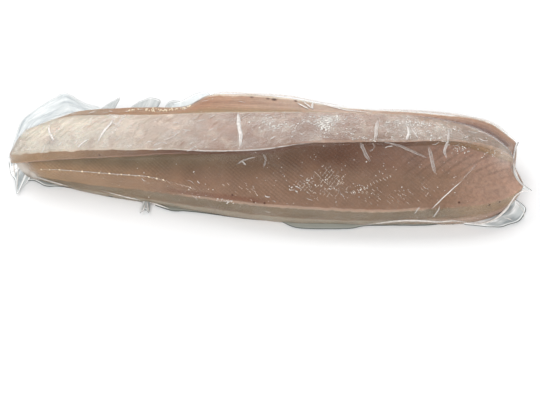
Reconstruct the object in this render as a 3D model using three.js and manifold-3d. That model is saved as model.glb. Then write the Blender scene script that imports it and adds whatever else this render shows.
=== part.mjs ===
// A raw tuna loin, sealed tight in a clear vacuum bag and lying on its flat side.
// Units are millimetres. X runs along the loin, from the thin tail end (-) to the
// broad cut end (+), -Y is the hollow side where the backbone and dark meat were cut
// away, and +Z is up. The origin is on the surface it lies on, in the middle of the
// bag's footprint.
//
// The loin is lofted through six long edge lines, as a boat's hull is through its
// rails. The bag clings to the meat, so meat and film are one solid there, and the
// film's loose margins stand off it as thin wavy flaps of the same solid.

import * as THREE from "three";
import { mergeVertices } from "three/addons/utils/BufferGeometryUtils.js";
import Module from "manifold-3d";

const { lerp, smoothstep } = THREE.MathUtils;
const wasm = await Module();
wasm.setup();

// ---- Driving dimensions ----------------------------------------------------------

const STATIONS = 66; // cross-sections along the loin
const END_ROUNDING = [5, 1.5]; // how far the tail end and the cut end bulge
const END_RINGS = 3; // rings that close each end face

const BELLY_SWELL = 2.5; // how far the low front strip swells out
// The hollow face, as [at the tail, at the cut end]: it swells out above its lower
// edge near the tail and is dished all over near the cut end.
const FACE_SWELL = [4, -4.5];
const HOLLOW_DEPTH = [7, 6.5];
const SWELL_AT = 0.34; // how far up the face the swell is greatest
const HOLLOW_AT = 0.74; // how far up the face the hollow is deepest
const FACE_CHANGE = [0.3, 0.6]; // the stretch of the loin over which the face changes
const HOLLOW_END = [0.78, 0.98]; // the stretch near the cut end where the hollow runs out
const END_DRAW = 7; // how far the middle of the face is drawn back at the cut end
const END_DRAW_FROM = 0.86; // share of the length from which it is drawn back
const TOP_CROWN = 2.2; // rise of the pale top face between its two edges
const GUTTER_DEPTH = 11; // groove between the top face and the belly flap
const GUTTER_AT = 0.22; // how far out from the top face that groove is deepest
const FLAP_DISH = 2; // how far the belly flap is dished between the groove and its edge
const FLAP_DISH_AT = 0.7; // how far out from the top face it is dished the most
const BACK_SWELL = 3; // swell of the back wall
const BACK_TUCK = 11; // how far the back wall's foot is tucked in
const END_FADE = 0.12; // share of a half wave that the relief has already risen at an end

const FILM = 1.5; // thickness of a loose film margin, two sheets and the air between
const FILM_STEPS = 3; // rows of a margin from its root to its free edge
const FILM_PITCH = 6; // length of a facet along a margin
const RIPPLE_LENGTH = 21; // distance between two ripples of a free film edge

// The long edge lines of the loin, each from the tail end to the cut end.
const EDGE_LINES = {
  // where the front of the loin touches the surface that it lies on
  foot: [
    [-233, -11, 3],
    [-195, -24, 0],
    [-107, -47, 0],
    [-14, -66.5, 0],
    [14, -69.5, 0],
    [40, -72.5, 0],
    [75, -73.5, 0],
    [110, -73, 0],
    [150, -72.5, 0],
    [184, -72, 0],
    [213, -66, 1],
    [228, -57, 4],
    [238, -49, 11],
  ],
  // the lower edge of the hollow face
  edge: [
    [-235, -14, 9],
    [-181, -30, 13],
    [-130, -41, 17],
    [-81, -53, 21],
    [-13, -69, 26],
    [36, -75.5, 28],
    [102, -79, 27],
    [160, -77, 29],
    [206, -71, 29],
    [229, -61, 29],
    [242, -54, 33],
  ],
  // the lower edge of the lip that overhangs the hollow
  lip: [
    [-245, -17.5, 25],
    [-190, -24, 37],
    [-153, -28, 44],
    [-104, -33, 54],
    [-60, -37.5, 61],
    [0, -41.5, 66],
    [36, -35, 68.5],
    [128, -32, 67.5],
    [180, -29, 64.5],
    [230, -38, 50],
  ],
  // the ridge, where the hollow face meets the pale top face
  ridge: [
    [-245.5, -10, 31.5],
    [-198, -20, 46],
    [-164, -24, 52],
    [-128, -29, 57],
    [-91, -33, 61],
    [-45, -40, 66],
    [0, -41.5, 70],
    [36, -35.5, 72],
    [128, -33, 71],
    [180, -29, 68],
    [213, -31, 62],
    [230, -37, 55],
  ],
  // the far edge of the top face
  back: [
    [-234.5, 17.5, 37],
    [-197, 23.5, 48],
    [-144, 16.3, 57.4],
    [-110, 13, 61.3],
    [-62, 9.5, 67],
    [24, 4.5, 73],
    [111, 2, 73],
    [170, -1, 67],
    [210, -11, 60],
    [227, -24, 54],
  ],
  // the outer edge of the belly flap, low behind the top face
  flap: [
    [-226, 31, 28],
    [-186, 42, 38],
    [-143, 45, 41],
    [-84, 43.5, 43],
    [-73, 45, 44.5],
    [-60, 53.8, 48],
    [-46, 56.3, 49.2],
    [25, 50.5, 49],
    [73, 40, 46],
    [171, 35, 42],
    [218, 28, 38],
    [246, 10, 28],
  ],
};

// The loose margins of the bag: root is the line along the loin where the film leaves
// it, rim is its free edge, and ripple is the height of the waves along that edge.
const MARGINS = {
  tail_corner: {
    ripple: 1.2,
    root: [
      [-236, -10, 20],
      [-229, 8, 26],
      [-220, 28, 26],
      [-196, 36, 30],
      [-166, 40, 28],
    ],
    rim: [
      [-249, -4, 20],
      [-248.8, 13, 17],
      [-248.7, 27, 15],
      [-248.6, 43, 13],
      [-246, 57, 13.5],
      [-236, 68, 15],
      [-225, 76, 18],
      [-214, 79, 23],
      [-204.5, 79.5, 30],
      [-197, 78.5, 26],
      [-186, 75, 20],
      [-170, 75, 14],
    ],
  },
  back_lobe_tail: {
    ripple: 0.8,
    root: [
      [-170, 38, 22],
      [-154, 40, 22],
      [-140, 40, 22],
    ],
    rim: [
      [-172, 68, 13],
      [-162, 76, 20],
      [-151, 79, 25],
      [-144, 74, 15],
    ],
  },
  back_lobe_middle: {
    ripple: 0.8,
    root: [
      [-144, 40, 20],
      [-120, 40, 20],
      [-100, 40, 20],
    ],
    rim: [
      [-140, 71, 13],
      [-125, 79, 20],
      [-114, 79, 23],
      [-104, 72, 13],
    ],
  },
  back_lobe_head: {
    ripple: 0.8,
    root: [
      [-106, 40, 20],
      [-84, 40, 20],
      [-62, 40, 20],
    ],
    rim: [
      [-105, 70, 13],
      [-98, 78.5, 18],
      [-79, 78.5, 18],
      [-66, 74, 22],
    ],
  },
  tail_point: {
    ripple: 0.3,
    root: [
      [-238, -8, 20],
      [-235, -10, 14],
      [-232, -11, 9],
      [-226, -12, 6],
    ],
    rim: [
      [-249, -6, 18],
      [-247.8, -12, 14],
      [-246.5, -16.4, 9],
      [-243, -19.5, 5.5],
      [-241, -27, 3.2],
      [-238.7, -36, 2.5],
      [-236.4, -28.3, 2.5],
      [-233.6, -24, 2.5],
      [-231, -19, 3],
    ],
  },
  tail_hem: {
    ripple: 0.2,
    root: [
      [-230, -10, 6],
      [-215, -13, 4],
      [-200, -16, 3],
      [-180, -21, 3],
    ],
    rim: [
      [-232.5, -18.5, 2.5],
      [-226, -17.7, 2.3],
      [-221, -20, 2],
      [-214.5, -24, 1.8],
      [-208.5, -25.3, 1.8],
      [-202.8, -24.6, 1.8],
      [-189, -27, 1.8],
      [-178, -30, 1.8],
    ],
  },
  tail_slip: {
    ripple: 0.2,
    root: [
      [-157, -28, 3],
      [-140, -33, 3],
      [-118, -39, 3],
    ],
    rim: [
      [-155, -34, 1.6],
      [-149, -38.3, 1.6],
      [-142, -38.6, 1.6],
      [-133, -40.4, 1.6],
      [-117.5, -45, 1.6],
    ],
  },
  crumple: {
    ripple: 0.4,
    root: [
      [-118, -41, 4],
      [-112, -43, 4],
      [-108.5, -44, 4],
    ],
    rim: [
      [-116.5, -47, 2.5],
      [-116, -54.3, 2.5],
      [-118.5, -60.7, 2.5],
      [-113.2, -56.5, 4],
      [-110, -60.5, 3],
      [-109.3, -48, 2.5],
    ],
  },
  belly_hem: {
    ripple: 0.2,
    root: [
      [-105, -42, 3],
      [-88, -48, 3],
      [-60, -54, 3],
      [-14, -62, 3],
      [15, -62, 5],
      [40, -66, 9],
      [80, -67, 9],
      [110, -67, 6],
      [150, -66, 5],
      [172, -64, 4],
    ],
    rim: [
      [-105, -49.3, 1.6],
      [-88, -56.5, 1.6],
      [-76, -56.8, 1.6],
      [-43, -62, 1.6],
      [-14, -67, 1.6],
      [7, -68.6, 1.6],
      [15, -70, 1.6],
      [24, -75.5, 1.6],
      [32, -78, 1.6],
      [61, -79.2, 1.6],
      [82, -78.3, 1.6],
      [92, -75.8, 1.6],
      [118, -74.8, 1.6],
      [155, -74.4, 1.6],
      [172, -71.6, 1.6],
    ],
  },
  cut_end_corner: {
    ripple: 0.8,
    root: [
      [180, -64, 4],
      [204, -56, 5],
      [222, -44, 10],
      [230, -46, 20],
    ],
    rim: [
      [188, -73.5, 1.6],
      [209.5, -76.4, 1.6],
      [222, -76.4, 1.6],
      [231, -73.2, 1.8],
      [239.5, -70, 2],
      [246, -62, 4.5],
      [247.4, -58, 6.5],
      [243.5, -55, 10],
      [235, -55.5, 17],
    ],
  },
  cut_end_web: {
    ripple: 0.2,
    root: [
      [234, -51, 30],
      [227, -45, 36],
      [223, -38, 40],
      [220, -27, 40],
      [224, -14, 35],
      [235, 3, 26],
    ],
    rim: [
      [249, -57.5, 31],
      [240.5, -52, 34.5],
      [235.5, -43, 38.5],
      [233.5, -34, 41],
      [235.5, -21.5, 41],
      [240.5, -8, 36],
      [246.5, 7, 31],
    ],
  },
};

// ---- Small helpers -----------------------------------------------------------------

// A smooth curve through a few points.
function lineThrough(points) {
  return new THREE.CatmullRomCurve3(points.map((p) => new THREE.Vector3(...p)));
}

// A point between a and b, pushed by an amount along the cross-section's own normal.
function between(a, b, share, push) {
  const chord = new THREE.Vector3().subVectors(b, a);
  const normal = new THREE.Vector3(0, chord.z, -chord.y).normalize();
  return a.clone().lerp(b, share).addScaledVector(normal, -push);
}

// The solid enclosed by a list of corners and triangles.
function solidFrom(corners, triangles) {
  const positions = new Float32Array(corners.flatMap((p) => [p.x, p.y, p.z]));
  const geometry = new THREE.BufferGeometry()
    .setAttribute("position", new THREE.BufferAttribute(positions, 3))
    .setIndex(triangles);
  const merged = mergeVertices(geometry, 1e-3);
  const mesh = new wasm.Mesh({
    numProp: 3,
    vertProperties: merged.attributes.position.array,
    triVerts: new Uint32Array(merged.index.array),
  });
  const solid = new wasm.Manifold(mesh);
  if (solid.volume() > 0) return solid;
  return solidFrom(corners, triangles.slice().reverse());
}

// ---- The loin ------------------------------------------------------------------------

const rails = Object.fromEntries(
  Object.entries(EDGE_LINES).map(([name, points]) => [name, lineThrough(points)]),
);

// One cross-section's outline, from the foot up over the top and back underneath.
// Share runs from 0 at the tail end to 1 at the cut end.
function section(share) {
  const at = (name) => rails[name].getPointAt(share);
  const [foot, edge, lip, ridge, back, flap] = Object.keys(EDGE_LINES).map(at);
  const backFoot = new THREE.Vector3(flap.x, flap.y - BACK_TUCK, 0);

  // the relief dies out towards both ends
  const fade = Math.sin(Math.PI * lerp(END_FADE, 1 - END_FADE, share));
  const change = smoothstep(share, ...FACE_CHANGE);
  const swell = lerp(...FACE_SWELL, change) * fade;
  const hollow = lerp(...HOLLOW_DEPTH, change) * fade * (1 - smoothstep(share, ...HOLLOW_END));

  const gutter = back.clone().lerp(flap, GUTTER_AT);
  gutter.z = back.z - GUTTER_DEPTH * fade;

  const swollen = between(edge, ridge, SWELL_AT, swell);
  const hollowed = between(edge, ridge, HOLLOW_AT, -hollow);
  const drawn = END_DRAW * smoothstep(share, END_DRAW_FROM, 1);
  swollen.x -= drawn * Math.sin(Math.PI * SWELL_AT);
  hollowed.x -= drawn * Math.sin(Math.PI * HOLLOW_AT);
  const dished = between(back, flap, FLAP_DISH_AT, -FLAP_DISH * fade);

  // each stretch of the outline: its number of facets, then the points it runs through
  const stretches = [
    [3, foot, between(foot, edge, 0.5, BELLY_SWELL), edge],
    [9, edge, swollen, hollowed, lip],
    [1, lip, ridge],
    [6, ridge, between(ridge, back, 0.5, TOP_CROWN), back],
    [6, back, gutter, dished, flap],
    [4, flap, between(flap, backFoot, 0.5, BACK_SWELL), backFoot],
    [5, backFoot, foot],
  ];
  return stretches.flatMap(([facets, ...points]) => {
    const curve = new THREE.CatmullRomCurve3(points, false, "centripetal");
    return curve.getPoints(facets).slice(0, -1);
  });
}

// The rings that close an end: the last outline drawn in towards its middle, while it
// bulges outwards as raw meat does under a tight film.
function endRings(outline, direction, rounding) {
  const middle = outline
    .reduce((sum, p) => sum.add(p), new THREE.Vector3())
    .divideScalar(outline.length);
  return Array.from({ length: END_RINGS }, (_, k) => {
    const inward = (k + 1) / END_RINGS;
    const bulge = direction * rounding * Math.sin(inward * Math.PI * 0.5);
    return outline.map((p) => {
      const drawn = p.clone().lerp(middle, inward);
      drawn.x += bulge;
      return drawn;
    });
  });
}

function loin() {
  const outlines = Array.from({ length: STATIONS }, (_, i) => section(i / (STATIONS - 1)));
  const rings = [
    ...endRings(outlines[0], -1, END_ROUNDING[0]).reverse(),
    ...outlines,
    ...endRings(outlines[STATIONS - 1], 1, END_ROUNDING[1]),
  ];
  const around = rings[0].length;
  for (const p of rings.flat()) p.z = Math.max(p.z, 0);

  const triangles = [];
  for (let i = 0; i < rings.length - 1; i++) {
    for (let j = 0; j < around; j++) {
      const [a, b] = [i * around + j, i * around + ((j + 1) % around)];
      const [c, d] = [a + around, b + around];
      // the first and the last ring are a single point, so half of each quad goes there
      if (i > 0) triangles.push(a, b, d);
      if (i < rings.length - 2) triangles.push(a, d, c);
    }
  }
  return solidFrom(rings.flat(), triangles);
}

// ---- The film's loose margins --------------------------------------------------------

// One margin: a wavy sheet from its root on the loin to its free edge, given the
// thickness of the two films that lie on each other there.
function margin({ root, rim, ripple }) {
  const [inner, outer] = [lineThrough(root), lineThrough(rim)];
  const length = outer.getLength();
  const along = Math.max(8, Math.round(length / FILM_PITCH));
  const waves = (2 * Math.PI * length) / RIPPLE_LENGTH;

  const sheet = (side) => {
    const points = [];
    for (let i = 0; i <= along; i++) {
      const share = i / along;
      const [from, to] = [inner.getPoint(share), outer.getPoint(share)];
      for (let k = 0; k <= FILM_STEPS; k++) {
        const outward = k / FILM_STEPS;
        const p = from.clone().lerp(to, outward);
        p.z += ripple * outward * Math.sin(waves * share);
        p.z = Math.max(p.z, FILM / 2) + (side * FILM) / 2;
        points.push(p);
      }
    }
    return points;
  };

  const row = FILM_STEPS + 1;
  const count = (along + 1) * row;
  const triangles = [];
  const quad = (a, b, c, d) => triangles.push(a, b, c, a, c, d);
  for (let i = 0; i < along; i++) {
    for (let k = 0; k < FILM_STEPS; k++) {
      const a = i * row + k;
      quad(a, a + 1, a + row + 1, a + row);
      quad(count + a, count + a + row, count + a + row + 1, count + a + 1);
    }
    const [near, far] = [i * row, i * row + FILM_STEPS];
    quad(near, near + row, count + near + row, count + near);
    quad(far + row, far, count + far, count + far + row);
  }
  for (let k = 0; k < FILM_STEPS; k++) {
    const last = along * row + k;
    quad(k + 1, k, count + k, count + k + 1);
    quad(last, last + 1, count + last + 1, count + last);
  }
  return solidFrom([...sheet(1), ...sheet(-1)], triangles);
}

// ---- The whole pack --------------------------------------------------------------------

function vacuumPack() {
  const solid = Object.values(MARGINS)
    .map(margin)
    .reduce((whole, flap) => whole.add(flap), loin());
  const { numProp, numVert, vertProperties, triVerts } = solid.getMesh();
  const positions = new Float32Array(numVert * 3);
  for (let i = 0; i < numVert; i++) {
    positions.set(vertProperties.subarray(i * numProp, i * numProp + 3), i * 3);
  }
  const geometry = new THREE.BufferGeometry()
    .setAttribute("position", new THREE.BufferAttribute(positions, 3))
    .setIndex(new THREE.BufferAttribute(triVerts, 1));
  geometry.computeVertexNormals();
  return geometry;
}

const tunaUnderFilm = new THREE.MeshStandardMaterial({
  color: 0x8a6a59,
  roughness: 0.25,
  metalness: 0,
});

const vacuumBag = new THREE.Mesh(vacuumPack(), tunaUnderFilm);
vacuumBag.name = "vacuum_bag";

const tunaLoin = new THREE.Group();
tunaLoin.add(vacuumBag);

export default tunaLoin;
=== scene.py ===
# %% [markdown]
# # A tuna loin in a vacuum bag
#
# The real thing is a long piece of raw tuna, cut from one side of the fish and sealed tight
# in a clear bag. Two materials make the picture: moist meat, and thin glossy film that
# clings to it, creases over its edges and stands off it in loose margins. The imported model
# is one solid for both. Here that solid is replaced by the meat, the film over the meat,
# the creases and frost in that film, and the loose margins, each as a mesh of its own.

# %% Load the frame
import math
import random

import bmesh
import bpy
import numpy as np
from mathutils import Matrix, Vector, noise
from mathutils.bvhtree import BVHTree


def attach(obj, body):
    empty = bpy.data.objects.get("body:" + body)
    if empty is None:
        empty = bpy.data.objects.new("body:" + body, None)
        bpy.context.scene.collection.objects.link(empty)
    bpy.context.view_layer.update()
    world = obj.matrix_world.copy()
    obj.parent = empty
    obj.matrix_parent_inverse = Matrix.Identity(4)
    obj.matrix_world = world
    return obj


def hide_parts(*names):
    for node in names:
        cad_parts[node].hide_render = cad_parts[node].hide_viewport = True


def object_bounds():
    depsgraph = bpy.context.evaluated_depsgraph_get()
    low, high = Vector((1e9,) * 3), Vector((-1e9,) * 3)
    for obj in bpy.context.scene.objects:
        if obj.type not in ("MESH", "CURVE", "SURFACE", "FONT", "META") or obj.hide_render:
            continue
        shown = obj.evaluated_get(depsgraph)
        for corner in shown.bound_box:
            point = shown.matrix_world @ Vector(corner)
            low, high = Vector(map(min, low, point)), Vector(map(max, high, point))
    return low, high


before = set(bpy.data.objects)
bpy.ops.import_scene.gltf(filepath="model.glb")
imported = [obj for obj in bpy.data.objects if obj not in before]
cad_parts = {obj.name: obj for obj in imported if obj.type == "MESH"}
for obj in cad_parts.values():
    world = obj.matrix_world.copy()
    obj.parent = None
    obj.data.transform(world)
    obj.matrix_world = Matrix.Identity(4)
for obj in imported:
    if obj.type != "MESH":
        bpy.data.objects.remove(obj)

cad_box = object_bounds()
MM = 0.001
print("box of the packed model, mm:", [[round(c / MM, 1) for c in corner] for corner in cad_box])

# %% [markdown]
# ## Lines that carry the shape
#
# A loin could be sculpted freely, but its character is in a few long edges: the foot, the
# lower edge of the hollow face, the lip that overhangs it, the ridge, the far edge of the
# top face and the outer edge of the belly flap. They are written down here in millimetres,
# from the tail end to the cut end, and everything else hangs between them, as planks hang
# between the rails of a boat.

# %% The long edge lines, in mm
EDGE_LINES = {
    "foot": [
        (-233, -11, 3), (-195, -24, 0), (-107, -47, 0), (-14, -66.5, 0), (14, -69.5, 0),
        (40, -72.5, 0), (75, -73.5, 0), (110, -73, 0), (150, -72.5, 0), (184, -72, 0), (213, -66, 1),
        (228, -57, 4), (238, -49, 11),
    ],
    "edge": [
        (-235, -14, 9), (-181, -30, 13), (-130, -41, 17), (-81, -53, 21), (-13, -69, 26),
        (36, -75.5, 28), (102, -79, 27), (160, -77, 29), (206, -71, 29), (229, -61, 29),
        (242, -54, 33),
    ],
    "lip": [
        (-245, -17.5, 25), (-190, -24, 37), (-153, -28, 44), (-104, -33, 54), (-60, -37.5, 61),
        (0, -41.5, 66), (36, -35, 68.5), (128, -32, 67.5), (180, -29, 64.5), (230, -38, 50),
    ],
    "ridge": [
        (-245.5, -10, 31.5), (-198, -20, 46), (-164, -24, 52), (-128, -29, 57), (-91, -33, 61),
        (-45, -40, 66), (0, -41.5, 70), (36, -35.5, 72), (128, -33, 71), (180, -29, 68),
        (213, -31, 62), (230, -37, 55),
    ],
    "back": [
        (-234.5, 17.5, 37), (-197, 23.5, 48), (-144, 16.3, 57.4), (-110, 13, 61.3), (-62, 9.5, 67),
        (24, 4.5, 73), (111, 2, 73), (170, -1, 67), (210, -11, 60), (227, -24, 54),
    ],
    "flap": [
        (-226, 31, 28), (-186, 42, 38), (-143, 45, 41), (-84, 43.5, 43), (-73, 45, 44.5),
        (-60, 53.8, 48), (-46, 56.3, 49.2), (25, 50.5, 49), (73, 40, 46), (171, 35, 42),
        (218, 28, 38), (246, 10, 28),
    ],
}


def line_through(points):
    """A smooth line through a few points. It gives the point at any share of its length."""
    points = np.array(points, float)
    gaps = np.linalg.norm(np.diff(points, axis=0), axis=1)
    # knots at the square root of each gap keep the line from swinging past a near point
    knots = np.concatenate([[0.0], np.cumsum(np.sqrt(gaps))])
    slope = np.gradient(points, knots, axis=0)

    def at_knot(where):
        i = np.clip(np.searchsorted(knots, where, side="right") - 1, 0, len(knots) - 2)
        step = (knots[i + 1] - knots[i])[..., None]
        t = (where - knots[i])[..., None] / step
        start = (2 * t**3 - 3 * t**2 + 1) * points[i] + (t**3 - 2 * t**2 + t) * step * slope[i]
        end = (3 * t**2 - 2 * t**3) * points[i + 1] + (t**3 - t**2) * step * slope[i + 1]
        return start + end

    fine = np.linspace(0, knots[-1], 40 * len(points))
    pieces = np.linalg.norm(np.diff(at_knot(fine), axis=0), axis=1)
    reached = np.concatenate([[0.0], np.cumsum(pieces)])

    def point(share):
        return at_knot(np.interp(np.asarray(share) * reached[-1], reached, fine))

    point.length = reached[-1]
    return point


rails = {name: line_through(points) for name, points in EDGE_LINES.items()}
print("rail lengths, mm:", {name: round(rail.length) for name, rail in rails.items()})

# %% [markdown]
# ## One cross-section
#
# Between two rails the meat is never a straight plank. The low front strip swells, the
# hollow face bulges above its lower edge near the tail and is dished all over near the cut
# end, where its middle is also drawn back. The top face is slightly crowned, and a groove
# parts it from the belly flap. The function below gives the 22 points of one cross-section.
# Point 0 is the foot, 2 the edge, 8 the lip, 9 the ridge, 13 the back and 17 the flap, and
# these numbers are used later to tell the parts of the surface from each other.

# %% A cross-section as 22 points
BELLY_SWELL = 2.5
FACE_SWELL = (4.0, -4.5)
HOLLOW_DEPTH = (7.0, 6.5)
SWELL_AT = 0.34
HOLLOW_AT = 0.74
FACE_CHANGE = (0.3, 0.6)
HOLLOW_END = (0.78, 0.98)
END_DRAW = 7
END_DRAW_FROM = 0.86
TOP_CROWN = 2.2
GUTTER_DEPTH = 11
GUTTER_AT = 0.22
FLAP_DISH = 2
BACK_SWELL = 3
BACK_TUCK = 11
END_FADE = 0.12
FOOT, EDGE, LIP, RIDGE, BACK, FLAP, BACK_FOOT, ROWS = 0, 2, 8, 9, 13, 17, 19, 22


def smoothstep(low, high, value):
    """0 below low, 1 above high, and a soft curve between."""
    t = np.clip((value - low) / (high - low), 0, 1)
    return t * t * (3 - 2 * t)


def between(a, b, share, push=0.0):
    """The point at a share of the way from a to b, pushed out of the section's outline."""
    chord = b - a
    normal = np.array([0, -chord[2], chord[1]]) / np.hypot(chord[1], chord[2])
    return a + (b - a) * share + normal * push


def cross_section(share):
    """The outline of the loin at a share of its length, as 22 points in mm."""
    foot, edge, lip, ridge, back, flap = (rail(share) for rail in rails.values())
    fade = math.sin(math.pi * (END_FADE + (1 - 2 * END_FADE) * share))
    change = smoothstep(*FACE_CHANGE, share)
    swell = fade * (FACE_SWELL[0] + (FACE_SWELL[1] - FACE_SWELL[0]) * change)
    hollow = fade * (HOLLOW_DEPTH[0] + (HOLLOW_DEPTH[1] - HOLLOW_DEPTH[0]) * change)
    hollow *= 1 - smoothstep(*HOLLOW_END, share)
    back_foot = np.array([flap[0], flap[1] - BACK_TUCK, 0])
    gutter = between(back, flap, GUTTER_AT)
    gutter[2] = back[2] - GUTTER_DEPTH * fade
    swollen = between(edge, ridge, SWELL_AT, swell)
    hollowed = between(edge, ridge, HOLLOW_AT, -hollow)
    drawn = END_DRAW * smoothstep(END_DRAW_FROM, 1, share)
    swollen[0] -= drawn * math.sin(math.pi * SWELL_AT)
    hollowed[0] -= drawn * math.sin(math.pi * HOLLOW_AT)
    face = line_through([edge, swollen, hollowed, lip])
    return np.array([
        foot,
        between(foot, edge, 0.5, BELLY_SWELL),
        edge,
        *[face(part) for part in (0.17, 0.34, 0.52, 0.70, 0.86)],
        lip,
        ridge,
        between(ridge, back, 0.25, TOP_CROWN * 0.75),
        between(ridge, back, 0.5, TOP_CROWN),
        between(ridge, back, 0.75, TOP_CROWN * 0.75),
        back,
        gutter,
        between(back, flap, 0.48, -FLAP_DISH * fade),
        between(back, flap, 0.74, -FLAP_DISH * fade),
        flap,
        between(flap, back_foot, 0.5, BACK_SWELL),
        back_foot,
        between(back_foot, foot, 0.33),
        between(back_foot, foot, 0.67),
    ])


middle = cross_section(0.5)
print("mid section, mm: width", round(np.ptp(middle[:, 1])), "height", round(np.ptp(middle[:, 2])))

# %% [markdown]
# ## The cage of the loin
#
# The usual way to model such a body by hand is a cage: a cylinder with as many sides as a
# section has points, cut across into stations, whose points are then moved to their places
# and smoothed by a subdivision surface. That way was chosen because it keeps every edge of
# the meat on one loop of the cage, where it can be creased. Two numbers are stored with
# each point: the row it lies on, and its distance along the skin from the ridge. The
# subdivision carries both along, so a pattern can follow the meat later.

# %% Helpers for modelling
STATIONS = 60


def alone(piece):
    """Makes a piece the only one that is selected, so that operators act on it alone."""
    bpy.ops.object.select_all(action="DESELECT")
    piece.select_set(True)
    bpy.context.view_layer.objects.active = piece


def select_where(piece, kind, wanted):
    """In edit mode, selects the VERT, EDGE or FACE elements for which wanted is true."""
    bpy.ops.mesh.select_mode(type=kind)
    bpy.ops.mesh.select_all(action="DESELECT")
    shape = bmesh.from_edit_mesh(piece.data)
    parts = {"VERT": shape.verts, "EDGE": shape.edges, "FACE": shape.faces}[kind]
    for part in parts:
        if wanted(part):
            part.select_set(True)
    shape.select_flush_mode()
    bmesh.update_edit_mesh(piece.data)


def points_of(piece):
    """The places of a mesh's points, as an array."""
    flat = np.empty(len(piece.data.vertices) * 3)
    piece.data.vertices.foreach_get("co", flat)
    return flat.reshape(-1, 3)


def normals_of(piece):
    """The normals of a mesh's points, as an array."""
    flat = np.empty(len(piece.data.vertices) * 3)
    piece.data.vertex_normals.foreach_get("vector", flat)
    return flat.reshape(-1, 3)


def place_points(piece, places):
    """Moves a mesh's points to new places."""
    piece.data.vertices.foreach_set("co", places.ravel())
    piece.data.update()


def paint(piece, name, values):
    """Stores one number for each point of a mesh, for a material or a later step to read."""
    attribute = piece.data.attributes.get(name)
    if attribute is None:
        attribute = piece.data.attributes.new(name, "FLOAT", "POINT")
    attribute.data.foreach_set("value", np.asarray(values, float))


def painted(piece, name):
    """Reads back the numbers that paint stored."""
    values = np.empty(len(piece.data.vertices))
    piece.data.attributes[name].data.foreach_get("value", values)
    return values


def finish_with(piece, kind, **settings):
    """Adds a modifier with its settings and applies it."""
    alone(piece)
    modifier = piece.modifiers.new(kind.title(), kind)
    for name, value in settings.items():
        setattr(modifier, name, value)
    bpy.ops.object.modifier_apply(modifier=modifier.name)


# %% The cylinder, cut into stations
CAGE_LENGTH = 480
bpy.ops.object.select_all(action="DESELECT")
bpy.ops.mesh.primitive_cylinder_add(
    vertices=ROWS, radius=50 * MM, depth=CAGE_LENGTH * MM, end_fill_type="NGON",
    rotation=(0, math.pi / 2, 0),
)
meat = bpy.context.object
meat.name = "tuna_meat"
bpy.ops.object.transform_apply(location=True, rotation=True, scale=True)
bpy.ops.object.mode_set(mode="EDIT")
select_where(
    meat, "EDGE", lambda e: abs(e.verts[0].co.x - e.verts[1].co.x) > 0.9 * CAGE_LENGTH * MM
)
bpy.ops.mesh.subdivide(number_cuts=STATIONS - 2)
bpy.ops.object.mode_set(mode="OBJECT")
print("cage:", len(meat.data.vertices), "points,", len(meat.data.polygons), "faces")

# %% Every point goes to its rail
straight = points_of(meat)
station = np.rint((straight[:, 0] / (CAGE_LENGTH * MM) + 0.5) * (STATIONS - 1)).astype(int)
turn = np.arctan2(straight[:, 2], straight[:, 1])
row = np.rint((turn - turn.min()) / (2 * math.pi) * ROWS).astype(int) % ROWS
row = (-row) % ROWS
sections = np.array([cross_section(i / (STATIONS - 1)) for i in range(STATIONS)])
place_points(meat, sections[station, row] * MM)

steps = np.linalg.norm(np.diff(sections, axis=1), axis=2)
along_skin = np.concatenate([np.zeros((STATIONS, 1)), np.cumsum(steps, axis=1)], axis=1)
along_skin -= along_skin[:, RIDGE:RIDGE + 1]
paint(meat, "row", row)
paint(meat, "across", along_skin[station, row] * MM)
print("skin from edge to ridge at mid length, mm:", round(-along_skin[STATIONS // 2, EDGE]))

# %% [markdown]
# ## Ends, creases and a smooth surface
#
# Each end is closed as raw meat under tight film is: the last outline is extruded and drawn
# in towards its middle while it bulges out a little. The long edges get creases of their
# own strength, the ridge the sharpest. Then a subdivision surface makes the skin smooth,
# with facets of a millimetre or so, fine enough to press muscle grooves into.

# %% Closing the ends
END_ROUNDING = {-1: 5.0, 1: 1.5}
END_RINGS = 3
bpy.ops.object.mode_set(mode="EDIT")
for direction, rounding in END_ROUNDING.items():
    select_where(meat, "FACE", lambda f: len(f.verts) == ROWS and f.normal.x * direction > 0)
    shape = bmesh.from_edit_mesh(meat.data)
    outline = [v.co.copy() for v in shape.verts if v.select]
    centre = sum(outline, Vector()) / len(outline)
    for k in range(END_RINGS):
        shrink = (END_RINGS - k - 0.25) / (END_RINGS - k + 0.75)
        bulge = rounding * (math.sin((k + 1) / END_RINGS * 1.4) - math.sin(k / END_RINGS * 1.4))
        bpy.ops.mesh.extrude_region_move(
            TRANSFORM_OT_translate={"value": (direction * bulge * MM, 0, 0)}
        )
        bpy.ops.transform.resize(value=(shrink,) * 3, center_override=centre)
    bpy.ops.mesh.poke()
bpy.ops.mesh.select_all(action="SELECT")
bpy.ops.mesh.normals_make_consistent(inside=False)
bpy.ops.object.mode_set(mode="OBJECT")
print("closed cage:", len(meat.data.vertices), "points")

# %% Creases along the edges, then the subdivision
CREASES = {FOOT: 0.5, EDGE: 0.5, LIP: 0.35, RIDGE: 0.7, BACK: 0.6, FLAP: 0.6, BACK_FOOT: 0.5}
cage_row = painted(meat, "row")
crease = meat.data.attributes.new("crease_edge", "FLOAT", "EDGE")
for edge in meat.data.edges:
    a, b = edge.vertices
    if cage_row[a] == cage_row[b] and cage_row[a] in CREASES:
        crease.data[edge.index].value = CREASES[cage_row[a]]
finish_with(meat, "SUBSURF", levels=3, render_levels=3)
print("meat surface:", len(meat.data.polygons), "faces")

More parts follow.
